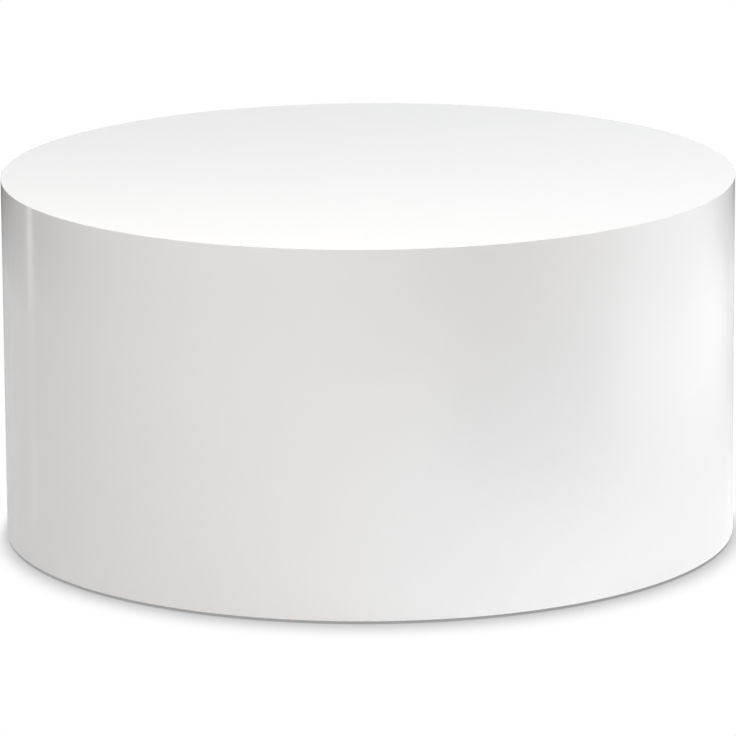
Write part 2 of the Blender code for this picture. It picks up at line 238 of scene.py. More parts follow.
class DrumTableSizes(bpy.types.PropertyGroup):
    """Sizes that the plain solids leave open."""

    rim_radius: length_property("Rim radius", "Rounding along the top's upper edge", 0.7 * MM)
    lower_edge: length_property("Lower edge", "Rounding along the side's lower edge", 1.0 * MM)
    kerf_pitch: length_property("Kerf pitch", "Spacing of the saw cuts behind the bent side", 6.0 * MM)
    kerf_width: length_property("Kerf width", "Width of each saw cut", 2.6 * MM)
    kerf_depth: length_property("Kerf depth", "Depth of each saw cut", 5.5 * MM)
    board_ease: length_property("Board ease", "Sanded edges of the rings and ribs", 0.6 * MM)
    ply_thickness: length_property("Ply thickness", "Thickness of one layer of the ribs' plywood", 2.0 * MM)
    screw_pitch: length_property("Screw pitch", "Thread pitch of the wood screws", 1.8 * MM)
    stem_pitch: length_property("Stem pitch", "Thread pitch of the levellers", 1.25 * MM)
    segments: bpy.props.IntProperty(
        name="Segments", description="Faces round the drum's full turn", default=256, min=96, max=512
    )


class DrumTableColours(bpy.types.PropertyGroup):
    """Colours of the table's finishes."""

    lacquer: colour_property("Lacquer", "The white coat of the top and side", "F1F1F1")
    fibreboard: colour_property("Fibreboard", "The raw rings and the back of the side", "B5936B")
    poplar: colour_property("Poplar", "The ribs' plywood", "DCC39A")
    zinc: colour_property("Zinc", "The plating of the screws and levellers", "C4C8CA")
    nylon: colour_property("Nylon", "The levellers' feet", "161617")
    scuff: colour_property("Scuff", "Scuffs on the levellers' feet", "3A3A3C")


class DrumTableStudio(bpy.types.PropertyGroup):
    """Camera, floor and lamps."""

    lens: bpy.props.FloatProperty(
        name="Lens", description="Focal length on a 36 mm sensor", default=308.3, unit="CAMERA"
    )
    distance: length_property("Distance", "From the camera to the point that it looks at", 6.924)
    elevation: bpy.props.FloatProperty(
        name="Elevation", description="How far the camera looks down", default=math.radians(13.25),
        subtype="ANGLE",
    )
    roll: bpy.props.FloatProperty(
        name="Roll", description="Lean of the camera", default=-0.0067, subtype="ANGLE"
    )
    aim: bpy.props.FloatVectorProperty(
        name="Aim", description="The point that the camera looks at", default=(-0.0012, 0, 0.1806),
        subtype="TRANSLATION",
    )
    lamps: strength_property("Lamps", "Strength of all the lamps", 1)
    room: strength_property("Room", "How bright the gloss mirrors the room", 0.85)
    pool: strength_property("Pool", "Glow of the floor beside the drum", 0.24)
    pool_reach: length_property("Pool reach", "Distance from the axis at which the glow ends", 1.8)
    paper: strength_property("Paper", "How bright the gloss mirrors the floor", 0.58)
    paper_lean: strength_property("Paper lean", "How much more the gloss mirrors the floor's lit side", 0.3)
    paper_right: strength_property("Paper right", "How bright the gloss mirrors the floor's right", 1.0)
    paper_spot: strength_property("Paper spot", "How much more the gloss mirrors a spot on the right", 0.65)
    shadow: strength_property("Shadow", "Depth of the contact shadow", 0.66)
    shadow_reach: length_property("Shadow reach", "Length of the contact shadow in front", 62 * MM)
    shadow_least: length_property("Shadow least", "Length of the contact shadow behind", 14 * MM)


def set_inputs(tree, node, inputs):
    """Gives a node's inputs, by name or number, a value or a link from another node's output."""
    for key, value in inputs.items():
        if isinstance(value, bpy.types.NodeSocket):
            tree.links.new(value, node.inputs[key])
        else:
            node.inputs[key].default_value = value


def add_node(tree, kind, inputs=None, **settings):
    """Adds a node with its settings and inputs. Returns its outputs."""
    node = tree.nodes.new(kind)
    for name, value in settings.items():
        setattr(node, name, value)
    set_inputs(tree, node, inputs or {})
    return node.outputs


def new_finish(name):
    """A material of that name, its node tree and its Principled shader."""
    material = bpy.data.materials.new(name)
    material.use_nodes = True
    return material, material.node_tree, material.node_tree.nodes["Principled BSDF"]


def sprayed_white_lacquer(colour):
    """Two-pack lacquer, sprayed on primed board: an even white with a soft gloss.

    The coat is level but not glass: its sheen drifts from place to place, and a faint orange peel
    softens what it mirrors. The peel is drawn at 6 mm, coarser than a real one, so that it shows.
    """
    drift_size = 160 * MM
    sheen_size = 45 * MM
    peel_size = 6 * MM
    material, tree, shader = new_finish("sprayed_white_lacquer")
    place = add_node(tree, "ShaderNodeTexCoord")["Object"]
    clouds = add_node(tree, "ShaderNodeTexNoise", {"Vector": place, "Scale": 1 / drift_size})[0]
    drift = add_node(tree, "ShaderNodeMapRange", {"Value": clouds, **NOISE_SPAN})[0]
    white = add_node(
        tree,
        "ShaderNodeMix",
        {SHARE: drift, FIRST: colour, SECOND: shaded(colour, 0.006)},
        data_type="RGBA",
    )[MIXED]
    sheen = add_node(
        tree, "ShaderNodeTexNoise", {"Vector": place, "Scale": 1 / sheen_size, "Detail": 3}
    )[0]
    roughness = add_node(
        tree, "ShaderNodeMapRange", {"Value": sheen, **NOISE_SPAN, "To Min": 0.09, "To Max": 0.13}
    )[0]
    peel = add_node(tree, "ShaderNodeTexNoise", {"Vector": place, "Scale": 1 / peel_size})[0]
    bump = add_node(tree, "ShaderNodeBump", {"Strength": 0.5, "Distance": 0.004 * MM, "Height": peel})[0]
    set_inputs(tree, shader, {"Base Color": white, "Roughness": roughness, "Normal": bump, "IOR": 1.5})
    return material


def sawn_fibreboard(colour):
    """Medium-density fibreboard as it leaves the saw.

    Pressed faces are pale and close, and sawn edges are darker and a little furry. Short fibres speckle
    both, drawn at 1.4 mm, coarser than most real ones, so that they show.
    """
    fibre_size = 1.4 * MM
    cloud_size = 38 * MM
    material, tree, shader = new_finish("sawn_fibreboard")
    place = add_node(tree, "ShaderNodeTexCoord")["Object"]
    facing = add_node(tree, "ShaderNodeNewGeometry")["Normal"]
    upward = add_node(tree, "ShaderNodeSeparateXYZ", {0: facing})["Z"]
    pressed = add_node(tree, "ShaderNodeMath", {0: upward}, operation="ABSOLUTE")[0]
    board = add_node(
        tree,
        "ShaderNodeMix",
        {SHARE: pressed, FIRST: shaded(colour, 0.28), SECOND: colour},
        data_type="RGBA",
    )[MIXED]
    fibre_noise = add_node(
        tree, "ShaderNodeTexNoise", {"Vector": place, "Scale": 1 / fibre_size, "Detail": 4}
    )[0]
    fibres = add_node(tree, "ShaderNodeMapRange", {"Value": fibre_noise, **NOISE_SPAN})[0]
    fibre_colour = add_node(
        tree,
        "ShaderNodeMix",
        {SHARE: fibres, FIRST: board, SECOND: shaded(colour, 0.45)},
        data_type="RGBA",
    )[MIXED]
    fibre_share = add_node(tree, "ShaderNodeMath", {0: fibres, 1: 0.55}, operation="MULTIPLY")[0]
    speckled = add_node(
        tree, "ShaderNodeMix", {SHARE: fibre_share, FIRST: board, SECOND: fibre_colour}, data_type="RGBA"
    )[MIXED]
    cloud_noise = add_node(tree, "ShaderNodeTexNoise", {"Vector": place, "Scale": 1 / cloud_size})[0]
    clouds = add_node(tree, "ShaderNodeMapRange", {"Value": cloud_noise, **NOISE_SPAN, "To Max": 0.16})[0]
    clouded = add_node(
        tree,
        "ShaderNodeMix",
        {SHARE: clouds, FIRST: speckled, SECOND: shaded(colour, 0.6)},
        data_type="RGBA",
    )[MIXED]
    roughness = add_node(
        tree, "ShaderNodeMapRange", {"Value": fibres, **NOISE_SPAN, "To Min": 0.8, "To Max": 0.92}
    )[0]
    bump = add_node(tree, "ShaderNodeBump", {"Strength": 0.6, "Distance": 0.08 * MM, "Height": fibres})[0]
    set_inputs(tree, shader, {"Base Color": clouded, "Roughness": roughness, "Normal": bump})
    return material


def sawn_poplar_plywood(colour, ply):
    """Rotary-cut poplar plywood with sawn edges.

    The faces show pale long grain. The edges show layers that run along and across by turns, with a
    brown glue line between them. Each rib's own board and number keep the ribs from looking alike.
    """
    grain_width = 2.2 * MM
    grain_length = 70 * MM
    pore_size = 0.9 * MM
    material, tree, shader = new_finish("sawn_poplar_plywood")
    board = add_node(tree, "ShaderNodeAttribute", attribute_name="board")["Vector"]
    copy = add_node(tree, "ShaderNodeAttribute", attribute_name="copy")["Fac"]
    place = add_node(tree, "ShaderNodeVectorMath", {0: board, 1: copy}, operation="ADD")[0]
    through = add_node(tree, "ShaderNodeSeparateXYZ", {0: board})["Y"]
    plies = {0: through, 1: 1 / ply, 2: PLY_MIDDLE}
    layers = add_node(tree, "ShaderNodeMath", plies, operation="MULTIPLY_ADD")[0]
    layer = add_node(tree, "ShaderNodeMath", {0: layers}, operation="FLOOR")[0]
    crossing = add_node(tree, "ShaderNodeMath", {0: layer, 1: 2}, operation="MODULO")[0]
    within = add_node(tree, "ShaderNodeMath", {0: layers}, operation="FRACT")[0]
    glue = add_node(tree, "ShaderNodeMath", {0: within, 1: GLUE_SHARE}, operation="LESS_THAN")[0]
    grain_scale = (1 / grain_width, 1 / grain_width, 1 / grain_length)
    grain_place = add_node(tree, "ShaderNodeVectorMath", {0: place, 1: grain_scale}, operation="MULTIPLY")[0]
    grain_noise = add_node(tree, "ShaderNodeTexNoise", {"Vector": grain_place, "Scale": 1, "Detail": 3})[0]
    grain = add_node(tree, "ShaderNodeMapRange", {"Value": grain_noise, **NOISE_SPAN, "To Max": 0.5})[0]
    pore_noise = add_node(
        tree, "ShaderNodeTexNoise", {"Vector": place, "Scale": 1 / pore_size, "Detail": 3}
    )[0]
    pores = add_node(tree, "ShaderNodeMapRange", {"Value": pore_noise, **NOISE_SPAN, "To Max": 0.5})[0]
    long_layer = add_node(
        tree,
        "ShaderNodeMix",
        {SHARE: grain, FIRST: colour, SECOND: shaded(colour, 0.3)},
        data_type="RGBA",
    )[MIXED]
    cross_layer = add_node(
        tree,
        "ShaderNodeMix",
        {SHARE: pores, FIRST: shaded(colour, 0.14), SECOND: shaded(colour, 0.45)},
        data_type="RGBA",
    )[MIXED]
    wood = add_node(
        tree, "ShaderNodeMix", {SHARE: crossing, FIRST: long_layer, SECOND: cross_layer}, data_type="RGBA"
    )[MIXED]
    glued = add_node(
        tree, "ShaderNodeMix", {SHARE: glue, FIRST: wood, SECOND: shaded(colour, 0.62)}, data_type="RGBA"
    )[MIXED]
    roughness = add_node(
        tree, "ShaderNodeMapRange", {"Value": grain, **NOISE_SPAN, "To Min": 0.62, "To Max": 0.78}
    )[0]
    bump = add_node(tree, "ShaderNodeBump", {"Strength": 0.5, "Distance": 0.06 * MM, "Height": grain})[0]
    set_inputs(tree, shader, {"Base Color": glued, "Roughness": roughness, "Normal": bump})
    return material


def zinc_plated_steel(colour):
    """Bright zinc on cold-headed and turned steel: a cool grey metal.

    Cloudy patches show where the bath left it duller, and fine pits break up the highlights.
    """
    cloud_size = 5 * MM
    pit_size = 0.5 * MM
    material, tree, shader = new_finish("zinc_plated_steel")
    place = add_node(tree, "ShaderNodeTexCoord")["Object"]
    clouds = add_node(
        tree, "ShaderNodeTexNoise", {"Vector": place, "Scale": 1 / cloud_size, "Detail": 3}
    )[0]
    dull = add_node(tree, "ShaderNodeMapRange", {"Value": clouds, **NOISE_SPAN})[0]
    plating = add_node(
        tree, "ShaderNodeMix", {SHARE: dull, FIRST: colour, SECOND: shaded(colour, 0.22)}, data_type="RGBA"
    )[MIXED]
    roughness = add_node(
        tree, "ShaderNodeMapRange", {"Value": clouds, **NOISE_SPAN, "To Min": 0.24, "To Max": 0.42}
    )[0]
    pits = add_node(tree, "ShaderNodeTexNoise", {"Vector": place, "Scale": 1 / pit_size})[0]
    bump = add_node(tree, "ShaderNodeBump", {"Strength": 0.3, "Distance": 0.01 * MM, "Height": pits})[0]
    set_inputs(tree, shader, {"Base Color": plating, "Roughness": roughness, "Normal": bump, "Metallic": 1.0})
    return material


def moulded_black_nylon(colour, scuff):
    """Glass-filled nylon from a spark-eroded mould: near black.

    A fine grain keeps its highlights broad, and scuffs show paler.
    """
    grain_size = 0.6 * MM
    scuff_size = 7 * MM
    material, tree, shader = new_finish("moulded_black_nylon")
    place = add_node(tree, "ShaderNodeTexCoord")["Object"]
    scuff_noise = add_node(
        tree, "ShaderNodeTexNoise", {"Vector": place, "Scale": 1 / scuff_size, "Detail": 4}
    )[0]
    scuffs = add_node(tree, "ShaderNodeMapRange", {"Value": scuff_noise, **NOISE_SPAN, "To Max": 0.35})[0]
    scuffed = add_node(
        tree, "ShaderNodeMix", {SHARE: scuffs, FIRST: colour, SECOND: scuff}, data_type="RGBA"
    )[MIXED]
    roughness = add_node(
        tree, "ShaderNodeMapRange", {"Value": scuffs, **NOISE_SPAN, "To Min": 0.42, "To Max": 0.6}
    )[0]
    grain = add_node(
        tree, "ShaderNodeTexNoise", {"Vector": place, "Scale": 1 / grain_size, "Detail": 3}
    )[0]
    bump = add_node(tree, "ShaderNodeBump", {"Strength": 0.4, "Distance": 0.03 * MM, "Height": grain})[0]
    set_inputs(tree, shader, {"Base Color": scuffed, "Roughness": roughness, "Normal": bump, "IOR": 1.53})
    return material


def finish(name):
    """One of the table's materials, made when it is first asked for."""
    colours = bpy.context.scene.drum_table_colours
    sizes = bpy.context.scene.drum_table_sizes
    makers = {
        "sprayed_white_lacquer": lambda: sprayed_white_lacquer(colours.lacquer),
        "sawn_fibreboard": lambda: sawn_fibreboard(colours.fibreboard),
        "sawn_poplar_plywood": lambda: sawn_poplar_plywood(colours.poplar, sizes.ply_thickness),
        "zinc_plated_steel": lambda: zinc_plated_steel(colours.zinc),
        "moulded_black_nylon": lambda: moulded_black_nylon(colours.nylon, colours.scuff),
    }
    return bpy.data.materials.get(name) or makers[name]()


def numbered(kind, count):
    """The names of the solids of a kind, which are counted from 1."""
    return [f"{kind}_{number}" for number in range(1, count + 1)]


def reach(node, axis):
    """The lowest and highest place of a solid's points along an axis."""
    places = [point.co.dot(Vector(axis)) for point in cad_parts[node].data.vertices]
    return min(places), max(places)


def radii(node):
    """The least and greatest distance of a solid's points from the drum's axis."""
    distances = [point.co.xy.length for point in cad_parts[node].data.vertices]
    return min(distances), max(distances)


def middle(node):
    """The centre of a solid's box."""
    low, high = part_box(node)
    return (low + high) / 2


def heights(node):
    """The bottom and top of a solid."""
    low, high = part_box(node)
    return low.z, high.z


def bearing(node):
    """The angle of a solid round the drum's axis, from +X."""
    centre = middle(node)
    return math.atan2(centre.y, centre.x)


def rib_reach(node):
    """A rib's inner and outer distance from the drum's axis, and its thickness."""
    angle = bearing(node)
    inside, outside = reach(node, (math.cos(angle), math.sin(angle), 0))
    left, right = reach(node, (-math.sin(angle), math.cos(angle), 0))
    return inside, outside, right - left


def new_piece(name, mesh):
    """An object at the origin for that mesh."""
    piece = bpy.data.objects.new(name, mesh)
    bpy.context.scene.collection.objects.link(piece)
    return piece


def settle(piece, body, nodes):
    """Gives a finished piece smooth shading and its body, and hides the solids that it stands for."""
    piece.data.shade_smooth()
    piece.data.set_sharp_from_angle(angle=SHARP_ANGLE)
    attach(piece, body)
    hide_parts(*nodes)


def rounded_outline(corners, steps=5):
    """The points of a closed outline of (radius, height, rounding) corners, with arcs where rounded.

    A point a little before and after each arc keeps the shading of the flats beside it flat.
    """
    points = []
    for number, (radius, height, rounding) in enumerate(corners):
        corner = Vector((radius, height))
        if not rounding:
            points.append(corner)
            continue
        before = (Vector(corners[number - 1][:2]) - corner).normalized()
        after = (Vector(corners[(number + 1) % len(corners)][:2]) - corner).normalized()
        half = before.angle(after) / 2
        centre = corner + (before + after).normalized() * rounding / math.sin(half)
        run = rounding / math.tan(half)
        first = corner + before * run - centre
        last = corner + after * run - centre
        points.append(corner + before * (run + rounding * FLAT_SHARE))
        for step in range(steps + 1):
            ray = first.slerp(last, step / steps).normalized()
            points.append(centre + ray * rounding)
        points.append(corner + after * (run + rounding * FLAT_SHARE))
    return points


def mesh_of(form, name):
    """A mesh of a finished form, which is freed."""
    mesh = bpy.data.meshes.new(name)
    form.to_mesh(mesh)
    form.free()
    return mesh


def lathe(name, outline, segments, closed=False):
    """A mesh turned round Z from (radius, height) points."""
    form = bmesh.new()
    points = [form.verts.new((radius, 0, height)) for radius, height in outline]
    edges = [form.edges.new(pair) for pair in zip(points, points[1:])]
    if closed:
        edges.append(form.edges.new((points[-1], points[0])))
    bmesh.ops.spin(
        form, geom=points + edges, cent=(0, 0, 0), axis=(0, 0, 1), angle=TURN, steps=segments, use_merge=True
    )
    bmesh.ops.remove_doubles(form, verts=form.verts, dist=SAME_POINT)
    bmesh.ops.recalc_face_normals(form, faces=form.faces)
    return mesh_of(form, name)


def section_mesh(outline):
    """A closed outline to be swept round the drum's axis. A sweep takes its Y axis as down."""
    links = [(number, (number + 1) % len(outline)) for number in range(len(outline))]
    mesh = bpy.data.meshes.new("section")
    mesh.from_pydata([(across, -up, 0) for across, up in outline], links, [])
    return mesh


def box_mesh(name, size, ease=0):
    """A box round the origin, with eased edges if asked for."""
    form = bmesh.new()
    bmesh.ops.create_cube(form, size=1)
    bmesh.ops.scale(form, vec=size, verts=form.verts)
    if ease:
        bmesh.ops.bevel(form, geom=form.edges, offset=ease, segments=2, profile=0.5, affect="EDGES")
    return mesh_of(form, name)


def placed(mesh, place):
    """A copy of a mesh, moved by a matrix."""
    copy = mesh.copy()
    copy.transform(place)
    return copy


def joined(name, meshes):
    """One mesh of several. The separate ones are removed."""
    form = bmesh.new()
    for mesh in meshes:
        form.from_mesh(mesh)
        bpy.data.meshes.remove(mesh)
    return mesh_of(form, name)


def round_the_axis(radius, angle, height=0.0, upward=False):
    """The matrix of a place round the drum's axis, turned outwards, and over where it points up."""
    flip = Matrix.Rotation(math.pi if upward else 0, 4, "X")
    return Matrix.Rotation(angle, 4, "Z") @ Matrix.Translation((radius, 0, height)) @ flip


def baked(piece):
    """A plain mesh of what a piece's modifiers make, without the faces of no area that a cut leaves."""
    graph = bpy.context.evaluated_depsgraph_get()
    mesh = bpy.data.meshes.new_from_object(piece.evaluated_get(graph))
    form = bmesh.new()
    form.from_mesh(mesh)
    bmesh.ops.dissolve_degenerate(form, edges=form.edges, dist=SLIVER)
    form.to_mesh(mesh)
    form.free()
    return mesh


def cut(mesh, cutter, operation="DIFFERENCE"):
    """The mesh with a cutter's shape taken out of it, or all but that shape. Both inputs are removed."""
    piece = new_piece("cut_piece", mesh)
    tool = new_piece("cut_tool", cutter)
    modifier = piece.modifiers.new("cut", "BOOLEAN")
    modifier.object = tool
    modifier.operation = operation
    modifier.solver = "EXACT"
    modifier.use_self = True
    result = baked(piece)
    for spent in (piece, tool):
        bpy.data.meshes.remove(spent.data)
    return result


def new_tree(name, inputs):
    """A node tree for a modifier with named inputs, and the outputs of its group input node."""
    tree = bpy.data.node_groups.new(name, "GeometryNodeTree")
    tree.interface.new_socket("Geometry", in_out="INPUT", socket_type="NodeSocketGeometry")
    for label, kind in inputs.items():
        tree.interface.new_socket(label, in_out="INPUT", socket_type=f"NodeSocket{kind}")
    tree.interface.new_socket("Geometry", in_out="OUTPUT", socket_type="NodeSocketGeometry")
    return tree, add_node(tree, "NodeGroupInput")


def end_tree(tree, shape, material):
    """Ends a tree with its shape as one plain mesh in one material."""
    plain = add_node(tree, "GeometryNodeRealizeInstances", {"Geometry": shape})[0]
    dressed = add_node(tree, "GeometryNodeSetMaterial", {"Geometry": plain, "Material": material})[0]
    add_node(tree, "NodeGroupOutput", {"Geometry": dressed})


def grown(name, mesh, maker, values):
    """A mesh grown from another, which is removed, by a tree that its maker makes only once."""
    tree = bpy.data.node_groups.get(maker.__name__) or maker(maker.__name__)
    piece = new_piece(name, mesh)
    modifier = piece.modifiers.new(tree.name, "NODES")
    modifier.node_group = tree
    for socket in tree.interface.items_tree:
        if socket.in_out == "INPUT" and socket.name in values:
            modifier[socket.identifier] = values[socket.name]
    result = baked(piece)
    result.name = name
    bpy.data.meshes.remove(mesh)
    # Shapes without a material leave an empty slot behind them
    for slot in reversed(range(len(result.materials))):
        if not result.materials[slot]:
            result.materials.pop(index=slot)
    return result


def turned_point(tree, radius, angle, height):
    """A point at that radius, angle and height round Z, inside a tree."""
    flat = add_node(tree, "ShaderNodeCombineXYZ", {"X": radius, "Z": height})[0]
    turn = {"Vector": flat, "Angle": angle}
    return add_node(tree, "ShaderNodeVectorRotate", turn, rotation_type="Z_AXIS")[0]


def ring_of_copies(name):
    """A tree that sets copies of the given shape evenly round the drum's axis, turned outwards."""
    tree, given = new_tree(
        name,
        {"Count": "Int", "Radius": "Float", "First Angle": "Float", "Height": "Float", "Tilt": "Float",
         "Finish": "Material"},
    )
    number = add_node(tree, "GeometryNodeInputIndex")[0]
    step = add_node(tree, "ShaderNodeMath", {0: TURN, 1: given["Count"]}, operation="DIVIDE")[0]
    turn = {0: number, 1: step, 2: given["First Angle"]}
    angle = add_node(tree, "ShaderNodeMath", turn, operation="MULTIPLY_ADD")[0]
    place = turned_point(tree, given["Radius"], angle, given["Height"])
    points = add_node(tree, "GeometryNodePoints", {"Count": given["Count"], "Position": place})[0]
    attitude = add_node(tree, "ShaderNodeCombineXYZ", {"X": given["Tilt"], "Z": angle})[0]
    copies = add_node(
        tree,
        "GeometryNodeInstanceOnPoints",
        {"Points": points, "Instance": given["Geometry"], "Rotation": attitude},
    )[0]
    marked = add_node(
        tree,
        "GeometryNodeStoreNamedAttribute",
        {"Geometry": copies, "Name": "copy", "Value": number},
        data_type="FLOAT",
        domain="INSTANCE",
    )[0]
    end_tree(tree, marked, given["Finish"])
    return tree


def screw_thread(name):
    """A tree that winds a right-hand thread round the given core."""
    tree, given = new_tree(
        name,
        {"Core Radius": "Float", "Depth": "Float", "Bottom": "Float", "Length": "Float", "Turns": "Float",
         "Finish": "Material"},
    )
    helix = add_node(
        tree,
        "GeometryNodeCurveSpiral",
        {"Resolution": THREAD_STEPS, "Rotations": given["Turns"], "Start Radius": given["Core Radius"],
         "End Radius": given["Core Radius"], "Height": given["Length"]},
    )[0]
    lift = add_node(tree, "ShaderNodeCombineXYZ", {"Z": given["Bottom"]})[0]
    raised = add_node(tree, "GeometryNodeSetPosition", {"Geometry": helix, "Offset": lift})[0]
    level = add_node(tree, "GeometryNodeSetCurveNormal", {"Curve": raised}, mode="Z_UP")[0]
    # A circle of three points is the thread's three-cornered ridge
    ridge = add_node(tree, "GeometryNodeCurvePrimitiveCircle", {"Resolution": 3, "Radius": given["Depth"]})[0]
    wound = add_node(
        tree, "GeometryNodeCurveToMesh", {"Curve": level, "Profile Curve": ridge, "Fill Caps": True}
    )[0]
    whole = add_node(tree, "GeometryNodeJoinGeometry", {"Geometry": wound})[0]
    tree.links.new(given["Geometry"], whole.node.inputs["Geometry"])
    end_tree(tree, whole, given["Finish"])
    return tree


def drilled_ring(name):
    """A tree that sweeps a board's section round the drum's axis and cuts the given shapes out of it."""
    tree, given = new_tree(
        name,
        {"Middle Radius": "Float", "Width": "Float", "Thickness": "Float", "Height": "Float", "Ease": "Float",
         "Segments": "Int", "Finish": "Material"},
    )
    path = {"Resolution": given["Segments"], "Radius": given["Middle Radius"]}
    circle = add_node(tree, "GeometryNodeCurvePrimitiveCircle", path)[0]
    lift = add_node(tree, "ShaderNodeCombineXYZ", {"Z": given["Height"]})[0]
    raised = add_node(tree, "GeometryNodeSetPosition", {"Geometry": circle, "Offset": lift})[0]
    level = add_node(tree, "GeometryNodeSetCurveNormal", {"Curve": raised}, mode="Z_UP")[0]
    size = {"Width": given["Width"], "Height": given["Thickness"]}
    section = add_node(tree, "GeometryNodeCurvePrimitiveQuadrilateral", size)[0]
    eased = add_node(
        tree,
        "GeometryNodeFilletCurve",
        {"Curve": section, "Radius": given["Ease"], "Count": 2, "Limit Radius": True},
        mode="POLY",
    )[0]
    swept = add_node(tree, "GeometryNodeCurveToMesh", {"Curve": level, "Profile Curve": eased})[0]
    drilled = add_node(
        tree,
        "GeometryNodeMeshBoolean",
        {"Mesh 1": swept, "Mesh 2": given["Geometry"]},
        operation="DIFFERENCE",
        solver="EXACT",
    )[0]
    end_tree(tree, drilled, given["Finish"])
    return tree


def bent_board(name):
    """A tree that bends a board of the given section round the drum's axis, with saw cuts behind."""
    tree, given = new_tree(
        name,
        {"Middle Radius": "Float", "Start": "Float", "Sweep": "Float", "Cuts": "Int", "Cut Share": "Float",
         "Cut Depth": "Float", "Outside": "Material", "Back": "Material"},
    )
    # The path's points come in fours: both ends of the wood between two cuts, then both of a cut's floor
    number = add_node(tree, "GeometryNodeInputIndex")[0]
    corner = add_node(tree, "ShaderNodeMath", {0: number, 1: KERF_POINTS}, operation="MODULO")[0]
    fours = add_node(tree, "ShaderNodeMath", {0: number, 1: KERF_POINTS}, operation="DIVIDE")[0]
    cut_number = add_node(tree, "ShaderNodeMath", {0: fours}, operation="FLOOR")[0]
    wood_end = add_node(tree, "ShaderNodeMath", {0: 1, 1: given["Cut Share"]}, operation="SUBTRACT")[0]
    cut_start = add_node(tree, "ShaderNodeMath", {0: wood_end, 1: KERF_SLOPE}, operation="ADD")[0]
    choice = tree.nodes.new("GeometryNodeIndexSwitch")
    choice.data_type = "FLOAT"
    while len(choice.index_switch_items) < KERF_POINTS:
        choice.index_switch_items.new()
    set_inputs(tree, choice, {0: corner, 1: 0.0, 2: wood_end, 3: cut_start, 4: 1 - KERF_SLOPE})
    pitch = add_node(tree, "ShaderNodeMath", {0: given["Sweep"], 1: given["Cuts"]}, operation="DIVIDE")[0]
    along = add_node(tree, "ShaderNodeMath", {0: cut_number, 1: choice.outputs[0]}, operation="ADD")[0]
    turn = {0: along, 1: pitch, 2: given["Start"]}
    angle = add_node(tree, "ShaderNodeMath", turn, operation="MULTIPLY_ADD")[0]
    place = turned_point(tree, given["Middle Radius"], angle, 0.0)

    straight = add_node(tree, "GeometryNodeCurvePrimitiveLine")[0]
    total = {0: given["Cuts"], 1: KERF_POINTS, 2: 1}
    count = add_node(tree, "ShaderNodeMath", total, operation="MULTIPLY_ADD")[0]
    pointed = add_node(tree, "GeometryNodeResampleCurve", {"Curve": straight, "Count": count})[0]
    bent = add_node(tree, "GeometryNodeSetPosition", {"Geometry": pointed, "Position": place})[0]
    last_on_wood = KERF_POINTS / 2 - 1
    in_cut = add_node(
        tree,
        "FunctionNodeCompare",
        {0: corner, 1: last_on_wood + 0.5},
        data_type="FLOAT",
        operation="GREATER_THAN",
    )[0]
    marked = add_node(
        tree,
        "GeometryNodeStoreNamedAttribute",
        {"Geometry": bent, "Name": "in_cut", "Value": in_cut},
        data_type="BOOLEAN",
        domain="POINT",
    )[0]
    level = add_node(tree, "GeometryNodeSetCurveNormal", {"Curve": marked}, mode="Z_UP")[0]
    section = add_node(tree, "GeometryNodeMeshToCurve", {"Mesh": given["Geometry"]})[0]
    swept = add_node(
        tree, "GeometryNodeCurveToMesh", {"Curve": level, "Profile Curve": section, "Fill Caps": True}
    )[0]

    # Points at the back of each cut move outwards, into the board
    own_place = add_node(tree, "GeometryNodeInputPosition")[0]
    flat = add_node(tree, "ShaderNodeVectorMath", {0: own_place, 1: (1, 1, 0)}, operation="MULTIPLY")[0]
    from_axis = add_node(tree, "ShaderNodeVectorMath", {0: flat}, operation="LENGTH")["Value"]
    outwards = add_node(tree, "ShaderNodeVectorMath", {0: flat}, operation="NORMALIZE")[0]
    cut_mark = add_node(tree, "GeometryNodeInputNamedAttribute", {"Name": "in_cut"}, data_type="BOOLEAN")[0]
    behind = add_node(
        tree,
        "FunctionNodeCompare",
        {0: from_axis, 1: given["Middle Radius"]},
        data_type="FLOAT",
        operation="LESS_THAN",
    )[0]
    chosen = add_node(tree, "FunctionNodeBooleanMath", {0: cut_mark, 1: behind}, operation="AND")[0]
    depth = {0: outwards, "Scale": given["Cut Depth"]}
    push = add_node(tree, "ShaderNodeVectorMath", depth, operation="SCALE")[0]
    sawn = add_node(
        tree, "GeometryNodeSetPosition", {"Geometry": swept, "Selection": chosen, "Offset": push}
    )[0]

    # The back and the cuts stay raw. The outside, and the edges above and below, are lacquered
    plain = add_node(tree, "GeometryNodeRealizeInstances", {"Geometry": sawn})[0]
    lacquered = add_node(
        tree, "GeometryNodeSetMaterial", {"Geometry": plain, "Material": given["Outside"]}
    )[0]
    facing = add_node(tree, "GeometryNodeInputNormal")[0]
    outward = add_node(
        tree, "ShaderNodeVectorMath", {0: facing, 1: outwards}, operation="DOT_PRODUCT"
    )["Value"]
    upward = add_node(tree, "ShaderNodeSeparateXYZ", {0: facing})["Z"]
    levelled = add_node(tree, "ShaderNodeMath", {0: upward}, operation="ABSOLUTE")[0]
    turned_in = add_node(
        tree, "FunctionNodeCompare", {0: outward, 1: RAW_OUTWARD}, data_type="FLOAT", operation="LESS_THAN"
    )[0]
    standing = add_node(
        tree, "FunctionNodeCompare", {0: levelled, 1: RAW_LEVEL}, data_type="FLOAT", operation="LESS_THAN"
    )[0]
    raw = add_node(tree, "FunctionNodeBooleanMath", {0: turned_in, 1: standing}, operation="AND")[0]
    dressed = add_node(
        tree, "GeometryNodeSetMaterial", {"Geometry": lacquered, "Selection": raw, "Material": given["Back"]}
    )[0]
    add_node(tree, "NodeGroupOutput", {"Geometry": dressed})
    return tree


